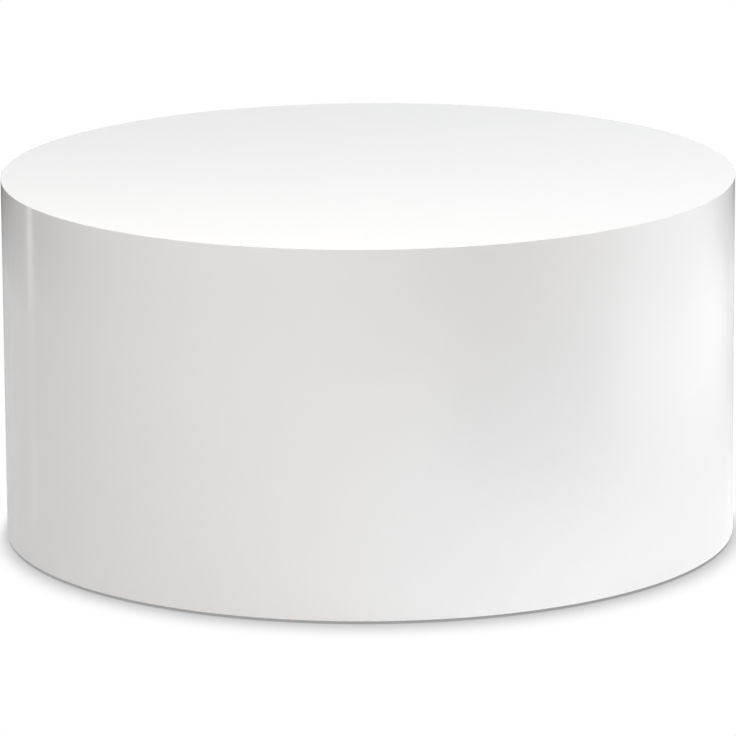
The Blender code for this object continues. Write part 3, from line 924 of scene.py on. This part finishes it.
class DRUM_TABLE_OT_top(bpy.types.Operator):
    """Makes the round top, with its rounded upper edge"""

    bl_idname = "drum_table.top"
    bl_label = "Table Top"

    def execute(self, context):
        sizes = context.scene.drum_table_sizes
        bottom, top = heights("top_panel")
        radius = radii("top_panel")[1]
        rim = rounded_outline(
            [(0, bottom, 0), (0, top, 0), (radius, top, sizes.rim_radius), (radius, bottom, 0)], steps=8
        )
        upper = [(radius * share, top) for share in TOP_ROWS]
        lower = [(radius * share, bottom) for share in reversed(TOP_ROWS)]
        mesh = lathe("table_top", [rim[1], *upper, *rim[2:], *lower, rim[0]], sizes.segments)
        mesh.materials.append(finish("sprayed_white_lacquer"))
        settle(new_piece("table_top", mesh), ROOT, ["top_panel"])
        return {"FINISHED"}


class DRUM_TABLE_OT_sides(bpy.types.Operator):
    """Bends the two halves of the side, lacquered outside and saw-cut behind"""

    bl_idname = "drum_table.sides"
    bl_label = "Bent Sides"

    def execute(self, context):
        sizes = context.scene.drum_table_sizes
        underside = heights("top_panel")[0]
        seam = bearing("rib_1")
        halves = {"rear_side": ("rear_skin", seam), "front_side": ("front_skin", seam + math.pi)}
        for name, (node, start) in halves.items():
            inner, outer = radii(node)
            bottom = heights(node)[0]
            half = (outer - inner) / 2
            corners = [
                (half, underside, 0),
                (half, bottom, sizes.lower_edge),
                (-half, bottom, 0),
                (-half, underside, 0),
            ]
            values = {
                "Middle Radius": (inner + outer) / 2,
                "Start": start,
                "Sweep": math.pi,
                "Cuts": round(math.pi * inner / sizes.kerf_pitch),
                "Cut Share": sizes.kerf_width / sizes.kerf_pitch,
                "Cut Depth": sizes.kerf_depth,
                "Outside": finish("sprayed_white_lacquer"),
                "Back": finish("sawn_fibreboard"),
            }
            mesh = grown(name, section_mesh(rounded_outline(corners)), bent_board, values)
            settle(new_piece(name, mesh), ROOT, [node])
        return {"FINISHED"}


def countersink(length):
    """The hole of a wood screw: a countersink at height 0 and a bore down from it."""
    outline = [
        (0, COUNTERSINK_RUN),
        (SCREW_HEAD_RADIUS + COUNTERSINK_RUN, COUNTERSINK_RUN),
        (SCREW_CREST_RADIUS, -SCREW_NECK_LENGTH),
        (SCREW_CREST_RADIUS, -length),
        (0, -length),
    ]
    return lathe("countersink", outline, SCREW_SEGMENTS)


def screw_places(kind):
    """The radius, first angle and head height of a ring of wood screws, and whether they point up."""
    first = f"{kind}_1"
    upward = kind != "rib_upper_screw"
    bottom, top = heights(first)
    return middle(first).xy.length, bearing(first), bottom if upward else top, upward


class DRUM_TABLE_OT_rings(bpy.types.Operator):
    """Makes the three fibreboard rings, with their countersinks, nut holes and notches"""

    bl_idname = "drum_table.rings"
    bl_label = "Carcass Rings"

    def execute(self, context):
        sizes = context.scene.drum_table_sizes
        bottom, top = heights("upper_ring")
        thickness = top - bottom
        cutters = {
            "upper_ring": [*self.holes("rib_upper_screw", thickness), *self.holes("top_screw", thickness)],
            "middle_ring": self.notches(thickness),
            "base_ring": [*self.holes("rib_lower_screw", thickness), *self.nut_holes(thickness)],
        }
        for node, shapes in cutters.items():
            inner, outer = radii(node)
            bottom, top = heights(node)
            values = {
                "Middle Radius": (inner + outer) / 2,
                "Width": outer - inner,
                "Thickness": top - bottom,
                "Height": (bottom + top) / 2,
                "Ease": sizes.board_ease,
                "Segments": sizes.segments,
                "Finish": finish("sawn_fibreboard"),
            }
            name = f"{node}_board"
            mesh = grown(name, joined("cutters", shapes), drilled_ring, values)
            settle(new_piece(name, mesh), ROOT, [node])
        return {"FINISHED"}

    def holes(self, kind, thickness):
        """The countersunk holes of a ring of wood screws."""
        radius, first, height, upward = screw_places(kind)
        for number in range(COUNT_RIBS):
            hole = countersink(2 * thickness)
            hole.transform(round_the_axis(radius, first + TURN * number / COUNT_RIBS, height, upward))
            yield hole

    def nut_holes(self, thickness):
        """The bores that the insert nuts are let into."""
        bottom, top = heights("base_ring")
        outline = [
            (0, bottom - thickness),
            (NUT_BARREL_RADIUS, bottom - thickness),
            (NUT_BARREL_RADIUS, top + thickness),
            (0, top + thickness),
        ]
        for node in numbered("insert_nut", COUNT_LEVELLERS):
            place = middle(node)
            hole = lathe("nut_hole", outline, NUT_HOLE_SEGMENTS)
            hole.transform(Matrix.Translation((place.x, place.y, 0)))
            yield hole

    def notches(self, thickness):
        """The notches that the ribs stand in, open to the ring's outer edge."""
        height = middle("middle_ring").z
        for node in numbered("rib", COUNT_RIBS):
            inside, outside, width = rib_reach(node)
            notch = box_mesh("notch", (outside - inside + thickness, width, 2 * thickness))
            notch.transform(round_the_axis((inside + outside + thickness) / 2, bearing(node), height))
            yield notch


class DRUM_TABLE_OT_ribs(bpy.types.Operator):
    """Stands the plywood ribs round the drum"""

    bl_idname = "drum_table.ribs"
    bl_label = "Plywood Ribs"

    def execute(self, context):
        sizes = context.scene.drum_table_sizes
        inside, outside, width = rib_reach("rib_1")
        bottom, top = heights("rib_1")
        rib = box_mesh("rib", (outside - inside, width, top - bottom), sizes.board_ease)
        board = rib.attributes.new("board", "FLOAT_VECTOR", "POINT")
        for corner, place in zip(rib.vertices, board.data):
            place.vector = corner.co
        values = {
            "Count": COUNT_RIBS,
            "Radius": (inside + outside) / 2,
            "First Angle": bearing("rib_1"),
            "Height": (bottom + top) / 2,
            "Tilt": 0.0,
            "Finish": finish("sawn_poplar_plywood"),
        }
        mesh = grown("plywood_ribs", rib, ring_of_copies, values)
        settle(new_piece("plywood_ribs", mesh), ROOT, numbered("rib", COUNT_RIBS))
        return {"FINISHED"}


def cross_recess():
    """The tapered cross that a driver fits, with its mouth at height 0."""
    arms = []
    for angle in (0, math.pi / 2):
        arm = box_mesh("arm", (RECESS_SPAN, RECESS_WIDTH, 2 * RECESS_DEPTH))
        for corner in arm.vertices:
            if corner.co.z < 0:
                corner.co.x *= RECESS_TAPER
                corner.co.y *= RECESS_TAPER
        arm.transform(Matrix.Rotation(angle, 4, "Z"))
        arms.append(arm)
    return joined("cross_recess", arms)


def wood_screw(length, pitch):
    """A countersunk wood screw, its head at height 0 and its point downwards."""
    outline = [
        (0, 0),
        (SCREW_HEAD_RADIUS - SCREW_HEAD_RIM / 2, 0),
        (SCREW_HEAD_RADIUS, -SCREW_HEAD_RIM / 2),
        (SCREW_HEAD_RADIUS, -SCREW_HEAD_RIM),
        (SCREW_CORE_RADIUS + SCREW_NECK_SWELL, -SCREW_NECK_LENGTH - SCREW_HEAD_RIM),
        (SCREW_CORE_RADIUS, -2 * SCREW_NECK_LENGTH),
        (SCREW_CORE_RADIUS, SCREW_POINT_LENGTH - length),
        (0, -length),
    ]
    core = cut(lathe("wood_screw", outline, SCREW_SEGMENTS), cross_recess())
    threaded = length - 2 * SCREW_NECK_LENGTH - SCREW_POINT_LENGTH
    values = {
        "Core Radius": SCREW_CORE_RADIUS,
        "Depth": SCREW_CREST_RADIUS - SCREW_CORE_RADIUS,
        "Bottom": SCREW_POINT_LENGTH - length,
        "Length": threaded,
        "Turns": threaded / pitch,
        "Finish": finish("zinc_plated_steel"),
    }
    return grown("wood_screw", core, screw_thread, values)


class DRUM_TABLE_OT_screws(bpy.types.Operator):
    """Drives the three rings of countersunk wood screws"""

    bl_idname = "drum_table.screws"
    bl_label = "Wood Screws"

    def execute(self, context):
        sizes = context.scene.drum_table_sizes
        for kind in ("top_screw", "rib_upper_screw", "rib_lower_screw"):
            radius, first, height, upward = screw_places(kind)
            bottom, top = heights(f"{kind}_1")
            values = {
                "Count": COUNT_RIBS,
                "Radius": radius,
                "First Angle": first,
                "Height": height,
                "Tilt": math.pi if upward else 0.0,
                "Finish": finish("zinc_plated_steel"),
            }
            screw = wood_screw(top - bottom, sizes.screw_pitch)
            mesh = grown(f"{kind}s", screw, ring_of_copies, values)
            settle(new_piece(f"{kind}s", mesh), ROOT, numbered(kind, COUNT_RIBS))
        return {"FINISHED"}


class DRUM_TABLE_OT_nuts(bpy.types.Operator):
    """Lets the flanged insert nuts into the base ring"""

    bl_idname = "drum_table.nuts"
    bl_label = "Insert Nuts"

    def execute(self, context):
        low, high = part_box("insert_nut_1")
        flange = (high.x - low.x) / 2
        length = high.z - low.z
        corners = [
            (NUT_BORE_RADIUS, 0, NUT_EASE),
            (flange, 0, NUT_EASE),
            (flange, NUT_FLANGE_THICKNESS, NUT_EASE),
            (NUT_BARREL_RADIUS, NUT_FLANGE_THICKNESS, 0),
            (NUT_BARREL_RADIUS, length, NUT_EASE),
            (NUT_BORE_RADIUS, length, NUT_EASE),
        ]
        nut = lathe("insert_nut", rounded_outline(corners, steps=3), NUT_SEGMENTS, closed=True)
        values = {
            "Count": COUNT_LEVELLERS,
            "Radius": middle("insert_nut_1").xy.length,
            "First Angle": bearing("insert_nut_1"),
            "Height": low.z,
            "Tilt": 0.0,
            "Finish": finish("zinc_plated_steel"),
        }
        mesh = grown("insert_nuts", cut(nut, self.pin_holes(flange)), ring_of_copies, values)
        nodes = numbered("insert_nut", COUNT_LEVELLERS)
        settle(new_piece("insert_nuts", mesh), ROOT, nodes)
        return {"FINISHED"}

    def pin_holes(self, flange):
        """The holes in the flange for the pins that hold a nut while it is driven in."""
        run = NUT_FLANGE_THICKNESS
        outline = [(0, -run), (NUT_PIN_HOLE_RADIUS, -run), (NUT_PIN_HOLE_RADIUS, 2 * run), (0, 2 * run)]
        pins = []
        for number in range(NUT_PIN_HOLES):
            pin = lathe("pin", outline, NUT_PIN_SEGMENTS)
            angle = TURN * (number + 0.5) / NUT_PIN_HOLES
            pin.transform(round_the_axis((flange + NUT_BARREL_RADIUS) / 2, angle))
            pins.append(pin)
        return joined("pins", pins)


def hexagon_collar():
    """The collar that a spanner turns, its corners chamfered by turning."""
    form = bmesh.new()
    bmesh.ops.create_cone(
        form,
        cap_ends=True,
        segments=6,
        radius1=COLLAR_ACROSS_FLATS / math.sqrt(3),
        radius2=COLLAR_ACROSS_FLATS / math.sqrt(3),
        depth=COLLAR_TOP - COLLAR_BOTTOM,
    )
    half = (COLLAR_TOP - COLLAR_BOTTOM) / 2
    face = COLLAR_ACROSS_FLATS / 2 - COLLAR_CHAMFER / 2
    wide = COLLAR_ACROSS_FLATS / math.sqrt(3) + COLLAR_CHAMFER
    drop = (wide - face) * COLLAR_SLOPE
    outline = [
        (0, 2 * half),
        (face - half, 2 * half),
        (face - COLLAR_CHAMFER, half + COLLAR_CHAMFER),
        (face, half),
        (wide, half - drop),
        (wide, drop - half),
        (face, -half),
        (face - COLLAR_CHAMFER, -half - COLLAR_CHAMFER),
        (face - half, -2 * half),
        (0, -2 * half),
    ]
    collar = cut(mesh_of(form, "collar"), lathe("turned", outline, COLLAR_SEGMENTS), "INTERSECT")
    collar.transform(Matrix.Translation((0, 0, (COLLAR_TOP + COLLAR_BOTTOM) / 2)))
    return collar


def leveller_stem(top, pitch):
    """A leveller's stem: a threaded shank, a chamfered hexagon collar, and a headed neck below it."""
    tip = STEM_CREST_RADIUS - STEM_CORE_RADIUS
    collar_middle = (COLLAR_BOTTOM + COLLAR_TOP) / 2
    outline = [
        (0, top),
        (STEM_CORE_RADIUS - tip, top),
        (STEM_CORE_RADIUS, top - tip),
        (STEM_CORE_RADIUS, collar_middle),
        (STEM_NECK_RADIUS, collar_middle),
        (STEM_NECK_RADIUS, STEM_HEAD_TOP),
        (STEM_HEAD_RADIUS, STEM_HEAD_TOP),
        (STEM_HEAD_RADIUS, STEM_HEAD_BOTTOM),
        (0, STEM_HEAD_BOTTOM),
    ]
    threaded = top - tip - COLLAR_TOP - STEM_RUN_OUT
    values = {
        "Core Radius": STEM_CORE_RADIUS,
        "Depth": STEM_CREST_RADIUS - STEM_CORE_RADIUS,
        "Bottom": COLLAR_TOP + STEM_RUN_OUT,
        "Length": threaded,
        "Turns": threaded / pitch,
        "Finish": finish("zinc_plated_steel"),
    }
    shank = grown("shank", lathe("shank", outline, STEM_SEGMENTS), screw_thread, values)
    return joined("stem", [shank, hexagon_collar()])


class DRUM_TABLE_OT_stems(bpy.types.Operator):
    """Winds the levellers' stems into their nuts"""

    bl_idname = "drum_table.stems"
    bl_label = "Leveller Stems"

    def execute(self, context):
        sizes = context.scene.drum_table_sizes
        stem = leveller_stem(heights("leveller_stem_1")[1], sizes.stem_pitch)
        stem.materials.append(finish("zinc_plated_steel"))
        for number, node in enumerate(numbered("leveller_stem", COUNT_LEVELLERS), 1):
            mesh = placed(stem, round_the_axis(middle(node).xy.length, bearing(node)))
            piece = new_piece(f"threaded_stem_{number}", mesh)
            settle(piece, f"stem_{number}", [node])
        bpy.data.meshes.remove(stem)
        return {"FINISHED"}


class DRUM_TABLE_OT_feet(bpy.types.Operator):
    """Moulds the levellers' nylon feet"""

    bl_idname = "drum_table.feet"
    bl_label = "Leveller Feet"

    def execute(self, context):
        low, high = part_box("leveller_foot_1")
        rim = (high.x - low.x) / 2
        corners = [
            (0, 0, 0),
            (rim, 0, FOOT_ROUNDING),
            (rim, FOOT_RIM_HEIGHT, FOOT_ROUNDING),
            (FOOT_CROWN_RADIUS, high.z, FOOT_ROUNDING),
            (FOOT_MOUTH_RADIUS, high.z, FOOT_MOUTH_EASE),
            (FOOT_MOUTH_RADIUS, FOOT_POCKET_ROOF, 0),
            (FOOT_POCKET_RADIUS, FOOT_POCKET_ROOF, 0),
            (FOOT_POCKET_RADIUS, FOOT_POCKET_FLOOR, 0),
            (0, FOOT_POCKET_FLOOR, 0),
        ]
        foot = lathe("foot", rounded_outline(corners), FOOT_SEGMENTS)
        foot.materials.append(finish("moulded_black_nylon"))
        for number, node in enumerate(numbered("leveller_foot", COUNT_LEVELLERS), 1):
            mesh = placed(foot, round_the_axis(middle(node).xy.length, bearing(node)))
            settle(new_piece(f"nylon_foot_{number}", mesh), f"foot_{number}", [node])
        bpy.data.meshes.remove(foot)
        return {"FINISHED"}


def direction(turn):
    """The level direction at an angle from the front, counted towards the right."""
    return Vector((math.sin(turn), -math.cos(turn), 0))


def bare_tree(holder):
    """The node tree of a new material or world, emptied."""
    holder.use_nodes = True
    holder.node_tree.nodes.clear()
    return holder.node_tree


def mirror_ray(tree, ray):
    """Whether a ray, given by its Light Path, comes from gloss or glass."""
    kinds = {0: ray["Is Glossy Ray"], 1: ray["Is Transmission Ray"]}
    return add_node(tree, "ShaderNodeMath", kinds, operation="MAXIMUM")[0]


def painted_contact_shadow(tree, studio):
    """Brightness of the paper to the eye: white, with a painted shadow where the drum stands close by.

    The shadow is painted from ambient occlusion and is longest in front of the drum, as light from above and
    behind would make it.
    """
    place = add_node(tree, "ShaderNodeNewGeometry")["Position"]
    outward = add_node(tree, "ShaderNodeVectorMath", {0: place}, operation="NORMALIZE")[0]
    front = add_node(
        tree, "ShaderNodeVectorMath", {0: outward, 1: direction(0)}, operation="DOT_PRODUCT"
    )["Value"]
    length = add_node(
        tree,
        "ShaderNodeMapRange",
        {"Value": front, "To Min": studio.shadow_least, "To Max": studio.shadow_reach},
    )[0]
    # Painted shadow: how much of the sky a point of the floor sees, within a reach that is longest in front
    clear = add_node(tree, "ShaderNodeAmbientOcclusion", {"Distance": length}, samples=SHADOW_RAYS)["AO"]
    # At the foot of the wall half the sky is covered. The painted shadow is full a little way in under it
    covered = add_node(
        tree,
        "ShaderNodeMath",
        {0: clear, 1: -SHADOW_GAIN, 2: SHADOW_GAIN},
        operation="MULTIPLY_ADD",
        use_clamp=True,
    )[0]
    softened = add_node(tree, "ShaderNodeMath", {0: covered, 1: SHADOW_SOFTNESS}, operation="POWER")[0]
    return add_node(
        tree,
        "ShaderNodeMath",
        {0: softened, 1: -studio.shadow, 2: 1},
        operation="MULTIPLY_ADD",
        use_clamp=True,
    )[0]


def painted_paper_reflection(tree, studio):
    """Painted brightness of the paper in the gloss, which shows more of the studio than its own light would.

    It is painted brighter on the right, with a bright spot there, and on the left, and darker far off and in
    a corner.
    """
    # Painted reflection: the brightness is set by place on the floor, not by any light that falls there
    place = add_node(tree, "ShaderNodeNewGeometry")["Position"]
    away = add_node(tree, "ShaderNodeVectorMath", {0: place}, operation="LENGTH")["Value"]
    outward = add_node(tree, "ShaderNodeVectorMath", {0: place}, operation="NORMALIZE")[0]
    rightward = add_node(
        tree, "ShaderNodeVectorMath", {0: outward, 1: direction(PAPER_BRIGHT_TURN)}, operation="DOT_PRODUCT"
    )["Value"]
    level = add_node(
        tree,
        "ShaderNodeMapRange",
        {"Value": rightward, "From Min": PAPER_BRIGHT_SPAN[0], "From Max": PAPER_BRIGHT_SPAN[1],
         "To Min": studio.paper, "To Max": studio.paper_right},
        interpolation_type="SMOOTHSTEP",
    )[0]
    facing = add_node(
        tree, "ShaderNodeVectorMath", {0: outward, 1: direction(PAPER_PAINTED_LEAN_TURN)}, operation="DOT_PRODUCT"
    )["Value"]
    lean = add_node(
        tree,
        "ShaderNodeMapRange",
        {"Value": away, "From Min": PAPER_LEAN_RUN[0], "From Max": PAPER_LEAN_RUN[1],
         "To Max": studio.paper_lean},
    )[0]
    leaned = add_node(tree, "ShaderNodeMath", {0: facing, 1: lean, 2: level}, operation="MULTIPLY_ADD")[0]
    fade = add_node(
        tree,
        "ShaderNodeMapRange",
        {"Value": away, "From Min": PAPER_FADE[0], "From Max": PAPER_FADE[1], "To Min": 1.0,
         "To Max": PAPER_FAR},
    )[0]
    off_spot = add_node(
        tree, "ShaderNodeVectorMath", {0: place, 1: PAPER_SPOT}, operation="DISTANCE"
    )["Value"]
    spot = add_node(
        tree,
        "ShaderNodeMapRange",
        {"Value": off_spot, "From Min": PAPER_SPOT_SPAN[0], "From Max": PAPER_SPOT_SPAN[1],
         "To Min": studio.paper_spot, "To Max": 0.0},
        interpolation_type="SMOOTHSTEP",
    )[0]
    faded = add_node(tree, "ShaderNodeMath", {0: leaned, 1: fade, 2: spot}, operation="MULTIPLY_ADD")[0]
    off_corner = add_node(
        tree, "ShaderNodeVectorMath", {0: place, 1: PAPER_CORNER}, operation="DISTANCE"
    )["Value"]
    corner = add_node(
        tree,
        "ShaderNodeMapRange",
        {"Value": off_corner, "From Min": PAPER_CORNER_SPAN[0], "From Max": PAPER_CORNER_SPAN[1]},
        interpolation_type="SMOOTHSTEP",
    )[0]
    return add_node(tree, "ShaderNodeMath", {0: faded, 1: corner}, operation="MULTIPLY")[0]


def studio_floor(studio):
    """Matt white paper with a painted glow round the drum, that shows white with a painted contact shadow.

    Its painted glow lights the table, and the gloss mirrors a painted brightness of it, less and less away
    from the drum.
    """
    material = bpy.data.materials.new("white_paper_floor")
    tree = bare_tree(material)
    ray = add_node(tree, "ShaderNodeLightPath")
    geometry = add_node(tree, "ShaderNodeNewGeometry")
    away = add_node(tree, "ShaderNodeVectorMath", {0: geometry["Position"]}, operation="LENGTH")["Value"]
    # A painted pool of glow, fading away from the drum, lights the table in place of a lamp
    glow = add_node(
        tree,
        "ShaderNodeMapRange",
        {"Value": away, "From Min": CAD_BOX[1].x, "From Max": studio.pool_reach, "To Min": studio.pool,
         "To Max": 0.0},
    )[0]
    paper = add_node(tree, "ShaderNodeBsdfDiffuse", {"Color": linear(PAPER_COLOUR)})[0]
    glowing = add_node(tree, "ShaderNodeEmission", {"Strength": glow})[0]
    # The paper as lamps light it, plus the painted glow
    lit = add_node(tree, "ShaderNodeAddShader", {0: paper, 1: glowing})[0]
    # The gloss mirrors a painted brightness of the paper, not its own light
    painted_in_gloss = add_node(tree, "ShaderNodeEmission", {"Strength": painted_paper_reflection(tree, studio)})[0]
    to_table = add_node(tree, "ShaderNodeMixShader", {0: mirror_ray(tree, ray), 1: lit, 2: painted_in_gloss})[0]
    # To the eye the paper is white, with the painted contact shadow
    white = add_node(tree, "ShaderNodeEmission", {"Strength": painted_contact_shadow(tree, studio)})[0]
    seen = add_node(tree, "ShaderNodeMixShader", {0: ray["Is Camera Ray"], 1: to_table, 2: white})[0]
    # From below the floor is clear, so that the table's underside can be looked at
    clear = add_node(tree, "ShaderNodeBsdfTransparent")[0]
    surface = add_node(tree, "ShaderNodeMixShader", {0: geometry["Backfacing"], 1: seen, 2: clear})[0]
    add_node(tree, "ShaderNodeOutputMaterial", {"Surface": surface})
    return material


def studio_world(room):
    """A white room, to the eye and in the gloss. It doesn't light the table."""
    world = bpy.data.worlds.new("white_room")
    tree = bare_tree(world)
    ray = add_node(tree, "ShaderNodeLightPath")
    views = {0: mirror_ray(tree, ray), 1: room, 2: ray["Is Camera Ray"]}
    strength = add_node(tree, "ShaderNodeMath", views, operation="MULTIPLY_ADD")[0]
    light = add_node(tree, "ShaderNodeBackground", {"Color": (1, 1, 1, 1), "Strength": strength})[0]
    add_node(tree, "ShaderNodeOutputWorld", {"Surface": light})
    return world


def add_softbox(name, turn, distance, height, size, power, colour):
    """A rectangular lamp that faces the middle of the drum, and that the gloss doesn't mirror."""
    light = bpy.data.lights.new(name, "AREA")
    light.shape = "RECTANGLE"
    light.size, light.size_y = size
    light.energy = power
    light.color = linear(colour)[:3]
    lamp = new_piece(name, light)
    place = direction(math.radians(turn)) * distance + Vector((0, 0, height))
    lamp.location = place
    lamp.rotation_euler = (Vector((0, 0, CAD_BOX[1].z / 2)) - place).to_track_quat("-Z", "Y").to_euler()
    lamp.visible_camera = False
    lamp.visible_glossy = False


def light_streak(eye):
    """A strip of light that lies along the floor, stands up at its end, and shows only in the gloss.

    It runs out from the place on the side where the photo shows its streak, the way the view from the
    eye is mirrored there, and widens as it goes, so that its reflection keeps one width.
    """
    facing = direction(STREAK_TURN)
    start = facing * CAD_BOX[1].x
    sight = (eye - start) * Vector((1, 1, 0))
    along = -sight.normalized().reflect(facing)
    across = Vector((-along.y, along.x, 0)) * STREAK_SPREAD / 2
    form = bmesh.new()
    pairs = []
    for run, height in ((STREAK_START, MM), (STREAK_END, MM), (STREAK_END, STREAK_HEIGHT)):
        centre = start + along * run + Vector((0, 0, height))
        pairs.append([form.verts.new(centre + across * run * side) for side in (-1, 1)])
    for (left, right), (next_left, next_right) in zip(pairs, pairs[1:]):
        form.faces.new((left, right, next_right, next_left))
    material = bpy.data.materials.new("strip_of_light")
    tree = bare_tree(material)
    place = add_node(tree, "ShaderNodeNewGeometry")["Position"]
    away = add_node(tree, "ShaderNodeVectorMath", {0: place}, operation="LENGTH")["Value"]
    strength = add_node(
        tree,
        "ShaderNodeMapRange",
        {"Value": away, "From Min": STREAK_RISE[0], "From Max": STREAK_RISE[1],
         "To Min": STREAK_STRENGTH[0], "To Max": STREAK_STRENGTH[1]},
    )[0]
    glow = add_node(tree, "ShaderNodeEmission", {"Strength": strength})[0]
    add_node(tree, "ShaderNodeOutputMaterial", {"Surface": glow})
    streak = new_piece("light_streak", mesh_of(form, "light_streak"))
    streak.data.materials.append(material)
    streak.visible_camera = False
    streak.visible_diffuse = False
    streak.visible_shadow = False
    return streak


class DRUM_TABLE_OT_studio(bpy.types.Operator):
    """Sets up the camera, the floor and the lamps"""

    bl_idname = "drum_table.studio"
    bl_label = "Studio"

    def execute(self, context):
        scene = context.scene
        studio = scene.drum_table_studio
        self.add_camera(scene, studio)
        disc = lathe("studio_floor", [(0, 0), (PAPER_RADIUS, 0)], PAPER_SEGMENTS)
        floor = new_piece("studio_floor", disc)
        floor.data.materials.append(studio_floor(studio))
        scene.world = studio_world(studio.room)
        for name, (turn, distance, height, size, power, colour) in SOFTBOXES.items():
            add_softbox(name, turn, distance, height, size, power * studio.lamps, colour)
        light_streak(scene.camera.location)
        scene.view_settings.view_transform = "Standard"
        return {"FINISHED"}

    def add_camera(self, scene, studio):
        """The camera, which looks down at the drum's front."""
        camera = new_piece("camera", bpy.data.cameras.new("camera"))
        camera.data.lens = studio.lens
        camera.data.sensor_width = 36
        camera.data.clip_end = 100
        tilt = Matrix.Rotation(math.pi / 2 - studio.elevation, 4, "X")
        attitude = tilt @ Matrix.Rotation(studio.roll, 4, "Z")
        back = Vector((0, -math.cos(studio.elevation), math.sin(studio.elevation)))
        camera.matrix_world = Matrix.Translation(Vector(studio.aim) + back * studio.distance) @ attitude
        scene.camera = camera


GROUPS = {
    "drum_table_sizes": DrumTableSizes,
    "drum_table_colours": DrumTableColours,
    "drum_table_studio": DrumTableStudio,
}
OPERATORS = (
    DRUM_TABLE_OT_top,
    DRUM_TABLE_OT_sides,
    DRUM_TABLE_OT_rings,
    DRUM_TABLE_OT_ribs,
    DRUM_TABLE_OT_screws,
    DRUM_TABLE_OT_nuts,
    DRUM_TABLE_OT_stems,
    DRUM_TABLE_OT_feet,
    DRUM_TABLE_OT_studio,
)


class DRUM_TABLE_PT_panel(bpy.types.Panel):
    """Lists the table's pieces and settings in the sidebar"""

    bl_idname = "DRUM_TABLE_PT_panel"
    bl_label = "Drum Table"
    bl_space_type = "VIEW_3D"
    bl_region_type = "UI"
    bl_category = "Drum Table"

    def draw(self, context):
        for operator in OPERATORS:
            self.layout.operator(operator.bl_idname)
        for name, group in GROUPS.items():
            box = self.layout.box()
            for setting in group.__annotations__:
                box.prop(getattr(context.scene, name), setting)


CLASSES = (*GROUPS.values(), *OPERATORS, DRUM_TABLE_PT_panel)


def register():
    """Makes the classes known to Blender and hangs the settings on the scene."""
    for item in CLASSES:
        bpy.utils.register_class(item)
    for name, group in GROUPS.items():
        setattr(bpy.types.Scene, name, bpy.props.PointerProperty(type=group))


def unregister():
    """Takes back what register did."""
    for name in GROUPS:
        delattr(bpy.types.Scene, name)
    for item in reversed(CLASSES):
        bpy.utils.unregister_class(item)


def main():
    """Dresses the whole table, in the order that it is put together."""
    register()
    bpy.ops.drum_table.top()
    bpy.ops.drum_table.sides()
    bpy.ops.drum_table.rings()
    bpy.ops.drum_table.ribs()
    bpy.ops.drum_table.screws()
    bpy.ops.drum_table.nuts()
    bpy.ops.drum_table.stems()
    bpy.ops.drum_table.feet()
    bpy.ops.drum_table.studio()


if __name__ == "__main__":
    main()
